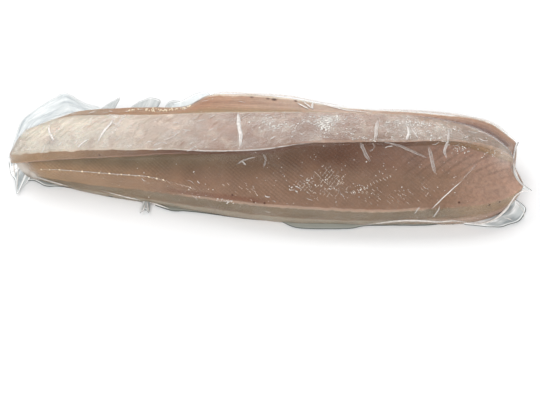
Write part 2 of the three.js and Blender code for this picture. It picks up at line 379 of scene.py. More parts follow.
# %% [markdown]
# ## Relief of the meat
#
# A fillet is not a smooth hull. Its skin undulates softly, the knife leaves the face in
# shallow ridges where the muscle segments part, slanting one way near the tail and the
# other way, wider apart, near the cut end, and the belly flap is drawn in fine cords along
# its length. These could be a bump in the material alone, but then the outline and the
# reflections of the film would stay too smooth, so the larger ones are pressed into the
# mesh. Where the surface turns to the underside or to an end is stored too, for the colours.

# %% Pressing relief into the meat
def press(piece, heights):
    """Moves every point along its normal by a height in mm."""
    place_points(piece, points_of(piece) + normals_of(piece) * heights[:, None] * MM)


def soft_noise(places, size, seed):
    """Smooth noise from -1 to 1, with lumps of about the given size in mm."""
    shifted = places / (size * MM) + seed * 7.31
    return np.array([noise.noise(Vector(p)) for p in shifted])


def window(values, low, high, soft):
    """1 between low and high, fading to 0 over a soft border."""
    rise = smoothstep(low - soft, low + soft, values)
    return rise * (1 - smoothstep(high - soft, high + soft, values))


UNDERSIDE_ROWS = (19.5, 21.6)
SEGMENT_PITCH = 12.3
SEGMENT_SLANT = 1.27
CREASE_SPACING = 7
CREASE_HEIGHT = 0.8
CREASE_SINK = 0.25

places, facing = points_of(meat), normals_of(meat)
rows, across = painted(meat, "row"), painted(meat, "across")
x = places[:, 0]
on_face = window(rows, 2.6, 7.8, 0.5)
on_upper_face = window(rows, 4.9, 7.8, 0.9)
on_flap = window(rows, 14.2, 16.7, 0.5)
upper = 1 - window(rows, *UNDERSIDE_ROWS, 0.4)
paint(meat, "under", smoothstep(0.25, 0.7, -facing[:, 2]))
paint(meat, "end", smoothstep(0.55, 0.85, np.abs(facing[:, 0])) * (np.abs(x) > 215 * MM))

lumps = 0.8 * soft_noise(places, 42, 1) + 0.35 * soft_noise(places, 14, 2)
head = smoothstep(108 * MM, 150 * MM, x)
groove_line = (x - SEGMENT_SLANT * across) / (SEGMENT_PITCH * MM) + 0.2 * soft_noise(places, 60, 3)
wide_grooves = -0.4 * head * np.maximum(0, np.cos(2 * math.pi * groove_line)) ** 6
segment_line = (x + 1.1 * across) / (4.1 * MM) + 0.3 * soft_noise(places, 40, 4)
fine_grooves = -0.14 * (1 - head) * (0.5 + 0.5 * np.cos(2 * math.pi * segment_line))
cords = 0.22 * np.sin(2 * math.pi * (across / (3.1 * MM) + 0.4 * soft_noise(places, 60, 5)))
# From the middle to the tail the top face is creased, across it at a slant.
on_top = window(rows, 9.2, 12.9, 0.4)
oblique = np.stack([(x - places[:, 1]) * 0.75, (x + places[:, 1]) * 0.22, 0 * x], axis=1)
creased = (1 - np.abs(soft_noise(oblique, CREASE_SPACING, 6))) ** 3 * smoothstep(60 * MM, -40 * MM, x)
lumps += on_top * (CREASE_HEIGHT * creased - CREASE_SINK)
press(meat, upper * lumps + on_upper_face * wide_grooves + on_face * fine_grooves + on_flap * cords)
print("deepest groove, mm:", round(float(-(on_upper_face * wide_grooves).min()), 2))

# %% [markdown]
# ## The film over the meat
#
# A vacuum bag is two sheets of clear nylon and polyethylene, about 0.1 mm thick. Where it
# lies on the meat it can be modelled as a copy of the meat's own surface, moved out by half
# a millimetre. A copy follows every form, and smoothing it lets the film bridge the narrow
# grooves as stretched film does. Fine wrinkles are then pressed in, longer across the loin
# than along it, because the bag is pulled tight lengthwise.

# %% A copy of the surface becomes the film
FILM_GAP = 0.45


def copy_of(piece, name):
    """A copy of a piece with a mesh of its own."""
    new = piece.copy()
    new.data = piece.data.copy()
    new.name = name
    bpy.context.scene.collection.objects.link(new)
    return new


def keep_above(piece, height):
    """Lifts what has sunk below a height in mm back up to it, so nothing is under the floor."""
    held = points_of(piece)
    held[:, 2] = np.maximum(held[:, 2], height * MM)
    place_points(piece, held)


TUCK_SPACING = 7
FINE_TUCK_SPACING = 3.4
TUCK_HEIGHT = 0.34
FINE_TUCK_HEIGHT = 0.16

film = copy_of(meat, "bag_film")
finish_with(film, "SMOOTH", factor=0.5, iterations=4)
press(film, np.full(len(film.data.vertices), FILM_GAP))
places = points_of(film)
stretched = places * np.array([1, 0.35, 0.35])
tucks = 1 - np.abs(soft_noise(stretched, TUCK_SPACING, 11))
fine_tucks = 1 - np.abs(soft_noise(stretched, FINE_TUCK_SPACING, 12))
busy = 0.35 + 0.65 * smoothstep(-0.1, 0.5, soft_noise(places, 55, 13))
film_rows = painted(film, "row")
# On the top face near the tail the film lies flatter, so it is wrinkled less there.
calm = window(film_rows, 9.1, 12.9, 0.3) * smoothstep(0, -60 * MM, places[:, 0])
busy *= 1 - 0.6 * calm
film_upper = 1 - window(film_rows, *UNDERSIDE_ROWS, 0.4)
wrinkles = TUCK_HEIGHT * tucks**4 + FINE_TUCK_HEIGHT * fine_tucks**3
press(film, film_upper * busy * wrinkles)
keep_above(meat, FILM_GAP + 0.1)
keep_above(film, 0.05)
film_surface = BVHTree.FromPolygons(
    [v.co.copy() for v in film.data.vertices], [tuple(p.vertices) for p in film.data.polygons]
)
print("film:", len(film.data.polygons), "faces")

# %% [markdown]
# ## Where the film looks milky
#
# Film that has let go of wet meat by a hair looks milky, and film that is wetted through
# looks clear. On this loin the pale top face is milky nearly all over and the hollow face
# is clear. A number stored with each point of the film says how milky it may get there, and
# the film's material draws clouds and veins within that.

# %% How milky the film may get, by rows
VEIL = [
    # first row, last row, how milky
    (-1.0, 2.0, 0.4), (2.0, 7.8, 0.15), (7.8, 9.0, 0.3), (9.0, 13.1, 1.0), (13.1, 17.4, 0.0),
    (17.4, 23.0, 0.4),
]
veil = sum(amount * window(film_rows, first, last, 0.3) for first, last, amount in VEIL)
paint(film, "veil", veil)
print("milky share of the film:", round(float((veil > 0.8).mean()), 2))

# %% Where the film stands right off the meat, as (x, y, z, radius) in mm and how milky
STAND_OFFS = [
    (-234, -13, 16, 9, 0.75), (-224, -17, 12, 6, 0.5), (-245, -15, 28, 4, 0.5),
    (-236, 14, 38, 6, 0.5), (-243, 0, 34, 5, 0.5), (-73, 45, 44, 7, 0.9), (-67, 50, 46.5, 6, 0.9),
    (-61, 54, 48, 4, 0.7), (224, -36, 53, 9, 0.3), (-143, 14, 58, 6, 0.45), (-136, 12, 59, 5, 0.35),
    (60, -11, 74, 9, 0.3), (8, -8, 73, 11, 0.15), (134, -14, 72, 12, 0.15),
]
film_places = points_of(film) / MM
loose = np.zeros(len(film_places))
for *spot, radius, amount in STAND_OFFS:
    far = np.linalg.norm(film_places - spot, axis=1) / radius
    loose = np.maximum(loose, amount * np.exp(-far**2))
paint(film, "loose", loose)

# %% [markdown]
# ## Pinched folds in the film
#
# Where slack film had nowhere to go, the pump pinched it into thin raised folds that catch
# the light as white lines. Each could be drawn as a bump, but a real fold stands up and
# throws a shadow. So each is a narrow grid, laid along its own line on the film, raised
# to a crest in the middle and tapered at both ends. A list names the folds that show. Many
# lesser ones are scattered by a seeded draw, as no two bags crease alike.

# %% The folds that show, each as (width, height, how milky, points), in mm
FOLDS = {
    "tail_curl": (2.3, 1.2, 1.0, [(-208, 15, 46), (-207, 8, 47), (-204, 0, 47), (-199, -10, 47)]),
    "fork_stem": (2.5, 1.4, 1.0, [(-157, -19, 54), (-152, -7, 57), (-147, 2, 58), (-144, 11, 58)]),
    "fork_arm": (3.0, 1.0, 0.35, [(-145, 9, 58), (-140, 2, 59), (-135, 9, 60)]),
    "fork_foot": (1.5, 0.8, 0.8, [(-176, -21, 50), (-170, -16, 52), (-165, -13, 53)]),
    "band": (4.0, 1.6, 0.95, [(-25, 6, 70), (-24, -10, 71), (-22, -25, 71), (-22, -39, 69)]),
    "top_strap": (3.6, 1.3, 0.55, [(105, -8, 74), (103, -20, 74), (102, -32, 72)]),
    "top_tick_a": (2.6, 1.0, 0.85, [(132, -14, 73), (133, -22, 73), (130, -32, 71)]),
    "top_tick_b": (1.6, 0.8, 0.6, [(136, -17, 73), (139, -24, 72), (142, -30, 71)]),
    "ridge_strap": (2.8, 1.1, 0.5, [(171, -16, 70), (169, -28, 68), (166, -36, 61), (168, -40, 56)]),
    "slant": (2.4, 0.9, 0.22, [
        (104, -30, 72), (113, -33, 70), (122, -33, 67), (135, -36, 62), (150, -40, 57),
    ]),
    "under_a": (3.4, 1.1, 0.24, [(88, -32, 71), (92, -37, 62), (97, -43, 55)]),
    "under_a_loop": (1.3, 0.6, 0.15, [(98, -31, 71), (101, -35, 66), (96, -38, 62)]),
    "under_b": (3.6, 1.2, 0.28, [(151, -33, 65), (154, -41, 56), (157, -51, 47)]),
    "straight": (1.05, 0.9, 1.0, [(153, -78, 28), (168, -66, 36), (182, -55, 42)]),
    "straight_end": (1.2, 0.4, 0.15, [(181, -56, 42), (190, -48, 48), (196, -43, 52)]),
    "low_a": (1.7, 0.8, 0.45, [(161, -75, 30), (159, -78, 24), (156, -78, 16)]),
    "low_b": (1.2, 0.7, 0.4, [(138, -79, 23), (141, -78, 29), (143, -76, 30)]),
    "y_stem": (1.6, 0.7, 0.3, [(-26, -44, 52), (-20, -42, 56), (-14, -42, 59), (-7, -42, 61)]),
    "y_foot": (1.5, 0.6, 0.45, [(-21, -42, 56), (-17, -44, 52)]),
    "curved": (1.9, 0.7, 0.18, [(-2, -42, 65), (1, -43, 59), (-1, -47, 51)]),
    "ridge_rim": (1.2, 0.5, 0.5, [
        (-86, -34, 62), (-45, -40, 66), (-22, -41, 68), (0, -41.5, 70), (22, -38, 71), (44, -35, 72),
    ]),
    "glint": (0.75, 0.4, 0.5, [
        (-218, -20, 21), (-195, -26, 26), (-160, -33, 30), (-136, -37, 32), (-109, -43, 35),
        (-92, -48, 35),
    ]),
    "flap_stroke_a": (2.4, 0.9, 1.0, [(31, 39, 52), (37, 30, 55), (42, 21, 59)]),
    "flap_stroke_b": (2.2, 0.8, 0.9, [(37, 44, 50), (42, 33, 53), (46, 23, 57)]),
    "flap_upright": (2.2, 0.9, 1.0, [(47, 45, 48), (46, 33, 53), (46, 22, 58)]),
    "flap_rim": (3.4, 0.9, 0.9, [(49, 46, 48), (65, 37, 49), (82, 27, 54), (104, 20, 58)]),
}
FOLD_FACET = 0.7
FOLD_ROWS = 8
FOLD_CREST = 1.4
FOLD_ROUNDING = 0.22
FOLD_LIFT = 0.06
FOLD_WANDER = 0.16


def fold(name, width, height, milky, points):
    """One pinched fold: a grid laid along a line on the film and raised to a crest."""
    line = line_through(points)
    along = max(8, round(line.length / FOLD_FACET))
    bpy.ops.mesh.primitive_grid_add(x_subdivisions=along, y_subdivisions=FOLD_ROWS, size=1)
    piece = bpy.context.object
    piece.name = name
    grid = points_of(piece)
    shares, sides = np.clip(grid[:, 0] + 0.5, 0, 1), grid[:, 1] * 2
    from_end = np.minimum(shares, 1 - shares)
    tapers = np.clip(from_end / FOLD_ROUNDING, 0.02, 1) ** 0.5
    lying = np.empty_like(grid)
    for i, (share, side, taper) in enumerate(zip(shares, sides, tapers)):
        here = Vector(line(share)) * MM
        ahead = Vector(line(min(1, share + 0.02)) - line(max(0, share - 0.02)))
        spot, normal, _, _ = film_surface.find_nearest(here)
        sideways = normal.cross(ahead).normalized()
        wander = FOLD_WANDER * width * noise.noise(spot * 160)
        offset = (side * width * 0.5 * taper + wander) * MM
        spot, normal, _, _ = film_surface.find_nearest(spot + sideways * offset)
        crest = max(0.0, 1 - side * side) ** FOLD_CREST
        uneven = 0.8 + 0.35 * noise.noise(spot * 300)
        lying[i] = spot + normal * (FOLD_LIFT + height * taper * crest * uneven) * MM
    place_points(piece, lying)
    paint(piece, "side", np.abs(sides))
    paint(piece, "milky", milky * tapers)
    return piece


bpy.ops.object.select_all(action="DESELECT")
folds = [fold("bag_fold_" + name, *facts) for name, facts in FOLDS.items()]
print(len(folds), "folds,", sum(len(f.data.polygons) for f in folds), "faces")


# %% The film's own directions at a place
def film_at(point):
    """At the film nearest to a point in mm: the spot, its normal, along the loin, and up."""
    spot, normal, _, _ = film_surface.find_nearest(Vector(point) * MM)
    along = (Vector((1, 0, 0)) - normal * normal.x).normalized()
    return spot, normal, along, normal.cross(along)


def join_all(pieces, name):
    """Joins pieces into one."""
    alone(pieces[0])
    for piece in pieces:
        piece.select_set(True)
    bpy.ops.object.join()
    bpy.context.object.name = name
    return bpy.context.object


# %% Lesser folds, scattered by a seeded draw
LESSER = [
    # how many, the box (x, y, z) they lie in, slant in degrees, length and widest, in mm
    (16, (-225, -80), (-22, 22), (48, 62), 48, 9, 1.3),
    (18, (-110, -30), (-36, 6), (60, 70), 25, 8, 1.2),
    (12, (-30, 110), (-34, 2), (64, 74), 40, 6, 1.2),
    (14, (110, 215), (-30, 0), (58, 72), 12, 8, 1.2),
    (3, (-115, -60), (-54, -42), (30, 38), -35, 7, 0.8),
    (9, (30, 150), (-70, -48), (32, 50), -42, 5, 0.8),
    (8, (-100, 60), (-72, -50), (18, 30), -20, 6, 1.0),
    (16, (-200, -70), (26, 44), (30, 46), 15, 7, 1.4),
    (9, (-60, 210), (24, 50), (30, 50), 8, 9, 1.4),
    (18, (-190, 200), (24, 50), (4, 28), 70, 11, 1.4),
]
draw = random.Random(7)
lesser = []
for count, xs, ys, zs, slant, length, widest in LESSER:
    for _ in range(count):
        start = (draw.uniform(*xs), draw.uniform(*ys), draw.uniform(*zs))
        spot, normal, along, up = film_at(start)
        angle = math.radians(slant + draw.gauss(0, 16))
        aim = (along * math.cos(angle) + up * math.sin(angle)) * 0.5 * length * draw.uniform(0.5, 1.4)
        bend = normal.cross(aim) * draw.uniform(-0.3, 0.3)
        centre = spot / MM
        line = [centre - aim, centre + bend, centre + aim]
        width, height, milky = draw.uniform(0.5, 1) * widest, draw.uniform(0.3, 0.6), draw.uniform(0.3, 0.8)
        lesser.append(fold("fold", width, height, milky, line))
lesser_folds = join_all(lesser, "bag_folds_lesser")
print("lesser folds:", len(lesser_folds.data.polygons), "faces")

# %% [markdown]
# ## Rolled rims
#
# Along its edges the bag is folded back or stretched into a thin roll, which catches the
# light as a white bead: under the low front strip, round the cut end, and along the flap.
# A curve with a round bevel would make such a roll, but its ends and flatness are easier
# to shape on a cylinder that is cut into rings, with each ring moved onto the line.

# %% The rolls, each as (radius, how milky, points), in mm
ROLLS = {
    "hem": (1.05, 0.75, [
        (89, -76.4, 3.2), (99, -75.5, 4.5), (108, -76.5, 7.5), (118, -77.7, 10.8), (131, -77.7, 12.3),
        (149, -76.9, 10.9), (161, -76, 8.7), (176, -76, 10), (184, -74.5, 7), (196, -74, 3.5),
    ]),
    "corner_hem": (1.15, 1.0, [
        (192, -74, 3.5), (203, -74, 3.4), (211, -71.5, 3.6), (219, -67.3, 4.6), (227, -61.5, 9),
        (231, -60.5, 20), (235, -58.6, 27.5), (242, -57, 30.5), (248, -58, 31),
    ]),
    "end_rim": (0.7, 1.0, [
        (247, -57, 31), (238, -50.8, 35.9), (234.8, -43, 39.5), (233, -35, 42), (235.5, -21.6, 42),
        (240, -9, 37), (245, 4, 32.5),
    ]),
    "corner_crease": (0.4, 0.9, [(237.3, -52.8, 10.5), (242, -57.5, 8), (245, -63, 5.5), (243, -68, 3.5)]),
    "corner_glint": (0.45, 1.0, [(224, -66.5, 4), (229, -68, 4), (234, -70.5, 3.4)]),
    "tail_hem": (0.55, 1.0, [
        (-155, -37.6, 9), (-146, -39.6, 8), (-138, -41.5, 7), (-129, -44, 6.4), (-118, -46.6, 6),
    ]),
    "middle_hem": (0.6, 1.0, [(-110, -48.7, 5.5), (-103, -50, 3.7), (-90, -55.2, 3)]),
    "tail_fat": (0.7, 0.6, [(-229, -16.4, 9), (-216, -20.8, 8.4), (-202, -25.7, 7.8), (-188, -30, 7)]),
    "tail_leg_a": (0.6, 1.0, [(-247.6, 14, 17), (-247.5, 0, 20), (-246.5, -7, 19)]),
    "tail_leg_b": (0.7, 1.0, [(-244, -6, 21), (-243.5, -13, 14), (-242, -18, 8)]),
    "tail_leg_c": (0.6, 1.0, [(-240, -9, 20), (-239.5, -14, 13), (-240, -22, 6), (-238.9, -33, 3.2)]),
    "crumple_a": (0.7, 1.0, [(-112, -47.5, 4.6), (-111, -54, 4.6), (-110.3, -59.5, 3.8)]),
    "crumple_b": (0.7, 0.9, [(-114.3, -50, 4.4), (-114.6, -56, 4.4), (-117.3, -59.8, 2.8)]),
    "hump_rim": (0.7, 0.8, [
        (-64, 46, 46), (-57, 52, 48.5), (-46, 56.5, 50), (-10, 55, 50), (25, 51.5, 50), (50, 46, 48.5),
        (80, 40, 47),
    ]),
    "flap_rim_end": (1.0, 0.7, [
        (110, 38, 45.5), (171, 35.5, 43), (200, 31.5, 41), (220, 27.5, 38.5), (236, 17, 33.5),
        (245.5, 8, 30),
    ]),
}
ROLL_RINGS = 90


def roll(name, radius, milky, points):
    """A rolled rim: a round bead of film along a line, with thin ends and uneven thickness."""
    line = line_through(points)
    bpy.ops.mesh.primitive_cylinder_add(
        vertices=8, radius=0.5, depth=1, end_fill_type="TRIFAN", rotation=(0, math.pi / 2, 0)
    )
    piece = bpy.context.object
    piece.name = name
    bpy.ops.object.transform_apply(location=True, rotation=True, scale=True)
    bpy.ops.object.mode_set(mode="EDIT")
    select_where(piece, "EDGE", lambda e: abs(e.verts[0].co.x - e.verts[1].co.x) > 0.9)
    bpy.ops.mesh.subdivide(number_cuts=ROLL_RINGS - 1)
    bpy.ops.object.mode_set(mode="OBJECT")
    bead = points_of(piece)
    shares = np.clip(bead[:, 0] + 0.5, 0, 1)
    tapers = np.sin(math.pi * np.clip(shares, 0.005, 0.995)) ** 0.5
    rolled = np.empty_like(bead)
    for i, (share, taper) in enumerate(zip(shares, tapers)):
        ahead = Vector(line(min(1, share + 0.01)) - line(max(0, share - 0.01))).normalized()
        sideways = ahead.cross(Vector((0, 0, 1))).normalized()
        upwards = sideways.cross(ahead)
        uneven = 1 + 0.35 * noise.noise(Vector(line(share)) * 0.16)
        reach = 2 * radius * taper * uneven
        rolled[i] = Vector(line(share)) + (sideways * bead[i, 1] + upwards * bead[i, 2]) * reach
    rolled[:, 2] = np.maximum(rolled[:, 2], 0.1)
    place_points(piece, rolled * MM)
    paint(piece, "side", np.zeros(len(bead)))
    paint(piece, "milky", milky * tapers)
    return piece


bpy.ops.object.select_all(action="DESELECT")
rolls = [roll("bag_roll_" + name, *facts) for name, facts in ROLLS.items()]
print(len(rolls), "rolls,", sum(len(r.data.polygons) for r in rolls), "faces")

# %% [markdown]
# ## Frost and glints
#
# Where the film has let go of the meat, ice grains and tiny air gaps show as white flecks:
# irregular clusters on the top face, and a crossed hatch on the hollow face where the film
# lies on two sets of muscle lines. A row of bright beads along the back, and a few along the
# glint line of the hollow face, are painted glints: near-white flakes where the wet film
# sparkles. Painted specks would look printed on, so each is a small uneven flake of real
# mesh. One flake is modelled from an icosphere, and its copies are joined from arrays, by a
# seeded draw.

# %% One flake, and a way to lay many
bpy.ops.object.select_all(action="DESELECT")
bpy.ops.mesh.primitive_ico_sphere_add(subdivisions=1, radius=0.5)
pattern = bpy.context.object
FLAKE_POINTS = points_of(pattern)
FLAKE_FACES = np.array([tuple(face.vertices) for face in pattern.data.polygons])
bpy.data.objects.remove(pattern)
FLAT_FLAKE = 0.35
ROUND_BEAD = 1.7


def mark(point, slant, length, width):
    """One flake to lay near a point in mm: its spot, normal, direction, length and width."""
    spot, normal, along, up = film_at(point)
    angle = math.radians(slant)
    return spot, normal, along * math.cos(angle) + up * math.sin(angle), length, width


def lay_flakes(name, marks, seed, height=FLAT_FLAKE):
    """One mesh of all the marked flakes, each shaken into a shape of its own."""
    shaker = np.random.default_rng(seed)
    corners, faces = [], []
    for n, (spot, normal, aim, length, width) in enumerate(marks):
        sideways = normal.cross(aim).normalized()
        axes = np.array([aim * length, sideways * width, normal * height])
        shape = FLAKE_POINTS * shaker.uniform(0.55, 1.25, (len(FLAKE_POINTS), 1))
        corners.append(np.array(spot) + shape @ axes * MM)
        faces.append(FLAKE_FACES + n * len(FLAKE_POINTS))
    mesh = bpy.data.meshes.new(name)
    mesh.from_pydata(np.concatenate(corners).tolist(), [], np.concatenate(faces).tolist())
    piece = bpy.data.objects.new(name, mesh)
    bpy.context.scene.collection.objects.link(piece)
    return piece


# %% Clusters of frost and loose specks
FROST = [
    # centre, half length and half height of the cluster, how many, slant, longest flake, in mm
    ((3, -5, 73), 14, 9, 46, 20, 2.4),
    ((12, -16, 74), 11, 6, 30, 30, 2.2),
    ((24, -22, 74), 10, 5, 10, 0, 1.6),
    ((42, -8, 75), 11, 5, 22, 15, 2.6),
    ((57, -14, 75), 8, 10, 60, 60, 3.4),
    ((66, -6, 75), 12, 5, 30, 40, 3.0),
    ((57, -13, 75), 5, 7, 16, 60, 4.8),
    ((5, -6, 73), 10, 6, 9, 20, 3.6),
    ((54, -26, 74), 8, 5, 14, 30, 2.0),
    ((60, -4, 75), 14, 4, 30, 20, 2.8),
    ((52, -14, 75), 5, 8, 40, 75, 3.0),
    ((6, -12, 74), 18, 10, 24, 30, 1.6),
    ((132, -12, 72), 26, 6, 30, 10, 2.2),
    ((78, -23, 74), 8, 6, 22, 0, 2.2),
    ((88, -31, 72), 9, 3, 26, 0, 2.0),
    ((98, -31, 72), 5, 3, 12, 30, 2.0),
    ((122, -12, 73), 14, 5, 28, 5, 2.6),
    ((140, -10, 72), 16, 4, 34, 5, 3.2),
    ((130, -26, 72), 11, 4, 18, 60, 2.2),
    ((158, -28, 69), 13, 4, 20, 10, 2.4),
    ((170, -14, 70), 9, 5, 24, -10, 2.6),
    ((180, -33, 62), 10, 4, 46, 20, 1.3),
    ((210, -34, 57), 10, 4, 26, 20, 1.3),
    ((25, -62, 38), 4, 4, 12, 45, 1.8),
    ((42, -57, 42), 6, 5, 18, 45, 1.6),
    ((88, -62, 38), 6, 8, 14, 60, 1.4),
    ((-43, -66, 24), 4, 2, 12, 0, 1.4),
    ((-34, -67, 25), 3, 2, 14, 30, 1.8),
    ((-66, -60, 28), 16, 5, 14, 0, 1.2),
    ((-66, -34, 63), 12, 5, 16, 30, 1.4),
]
LOOSE_SPECKS = [
    # how many, and the box (x, y, z) that they lie in, in mm
    (70, (-235, -60), (-28, 22), (46, 64)),
    (60, (-60, 220), (-36, 2), (60, 75)),
    (90, (-20, 190), (-78, -36), (28, 66)),
    (22, (-160, -20), (-66, -28), (18, 50)),
    (24, (-120, 220), (-80, -50), (6, 26)),
    (40, (-180, 230), (10, 52), (36, 60)),
    (24, (-180, 230), (30, 52), (6, 40)),
]
draw = random.Random(23)
marks = []
for centre, half_length, half_height, count, slant, longest in FROST:
    spot, normal, along, up = film_at(centre)
    for _ in range(count):
        place = spot / MM + along * draw.gauss(0, 0.55) * half_length + up * draw.gauss(0, 0.55) * half_height
        length = longest * (0.35 + draw.random() ** 2)
        width = min(length, draw.uniform(0.7, 1.7))
        marks.append(mark(place, slant + draw.gauss(0, 35), length, width))
for count, xs, ys, zs in LOOSE_SPECKS:
    for _ in range(count):
        place = (draw.uniform(*xs), draw.uniform(*ys), draw.uniform(*zs))
        size = 0.6 + draw.expovariate(3.0)
        marks.append(mark(place, draw.uniform(-90, 90), min(2.0, size), min(1.3, 0.8 * size)))
frost_flakes = lay_flakes("bag_frost", marks, 31)
print("frost:", len(marks), "flakes")

# %% The hatch, the row of dashes, and the beads along the back
HATCH_PITCH = 2.9
HATCH_DASH = (1.8, 4.6)
HATCH_DASH_WIDTH = 0.42
ROW_DASHES = 13
TAIL_DASHES = 15
BACK_BEADS = 60
GLINTS_AT = (0.03, 0.1, 0.18, 0.27, 0.36, 0.49, 0.57, 0.66, 0.72, 0.8, 0.87, 0.93, 0.98)
HATCHES = [
    # centre, half length and half height in mm, how full, and the two slants
    ((60, -53, 45), 15, 12, 1.3, (-42, 48)),
    ((37, -59, 40), 12, 8, 1.0, (-42, 48)),
    ((62, -64, 38), 24, 9, 0.4, (-42, 48)),
    ((112, -68, 35), 34, 10, 0.35, (-42, -38)),
    ((-22, -60, 34), 22, 10, 0.2, (-42, -38)),
    ((150, -62, 38), 18, 8, 0.12, (-42, 48)),
]
marks = []
for centre, half_length, half_height, fullness, slants in HATCHES:
    spot, normal, along, up = film_at(centre)
    for slant in slants:
        cos, sin = math.cos(math.radians(slant)), math.sin(math.radians(slant))
        reach = round((half_length + half_height) / HATCH_PITCH)
        for line_number in range(-reach, reach + 1):
            for dash_number in range(-reach, reach + 1):
                out = line_number * HATCH_PITCH + draw.gauss(0, 0.25)
                run = dash_number * HATCH_PITCH * 1.1 + draw.gauss(0, 0.6)
                a, b = run * cos - out * sin, run * sin + out * cos
                heart = 1 - math.hypot(a / half_length, b / half_height)
                if draw.random() > fullness * min(1.0, 1.6 * max(0.0, heart)) ** 0.7:
                    continue
                place = spot / MM + along * a + up * b
                turned, length = slant + draw.gauss(0, 4), draw.uniform(*HATCH_DASH)
                marks.append(mark(place, turned, length, HATCH_DASH_WIDTH))

dash_row = line_through([(80, -65, 36), (92, -61, 39.5), (104, -57, 43), (116, -53, 46)])
for n in range(ROW_DASHES):
    marks.append(mark(dash_row(n / (ROW_DASHES - 1)), -56 + draw.gauss(0, 5), draw.uniform(2.8, 4.6), 0.7))
tail_dashes = line_through([(-122, -41, 34), (-104, -45, 35), (-84, -51, 34), (-66, -56, 32)])
for n in range(TAIL_DASHES):
    marks.append(mark(tail_dashes(n / (TAIL_DASHES - 1)), -28 + draw.gauss(0, 5), draw.uniform(5, 9), 0.3))
hatch_flakes = lay_flakes("bag_hatch", marks, 32)

# Painted glints: near-white beads along the back, and along the glint line.
marks = []
beads = line_through([(-136, 34, 46), (-118, 35, 46.5), (-100, 34.5, 47), (-86, 35, 47), (-72, 35, 48)])
for n in range(BACK_BEADS):
    on_line = Vector(beads(draw.random()))
    place = on_line + Vector((0, draw.gauss(0, 2.4), draw.gauss(0, 0.5)))
    size = draw.uniform(0.9, 2.3)
    marks.append(mark(place, draw.uniform(-30, 30), size * 1.2, size))
glint_line = line_through(FOLDS["glint"][3])
for share in GLINTS_AT:
    size = draw.uniform(0.9, 1.8)
    marks.append(mark(glint_line(share), -10, size * 1.5, size))
beads_piece = lay_flakes("bag_beads", marks, 33, ROUND_BEAD)
flake_pieces = [frost_flakes, hatch_flakes, beads_piece]
print("flakes in all:", sum(len(p.data.polygons) for p in flake_pieces) // len(FLAKE_FACES))

# %% [markdown]
# ## Loose margins of the bag
#
# Beyond the meat the two sheets lie on each other and are sealed. They stand off the loin
# as wavy, stiff flaps: a large corner at the tail, lobes along the back, a hem at the foot
# and a corner at the cut end. A cloth simulation could drape them, but the vacuum has set
# their folds, and a direct shape keeps them where they are. Each is a grid between the line
# where it leaves the meat and its free edge. Its folds fan out from the meat or run along
# the free edge, and a Solidify modifier gives it a thin wall.

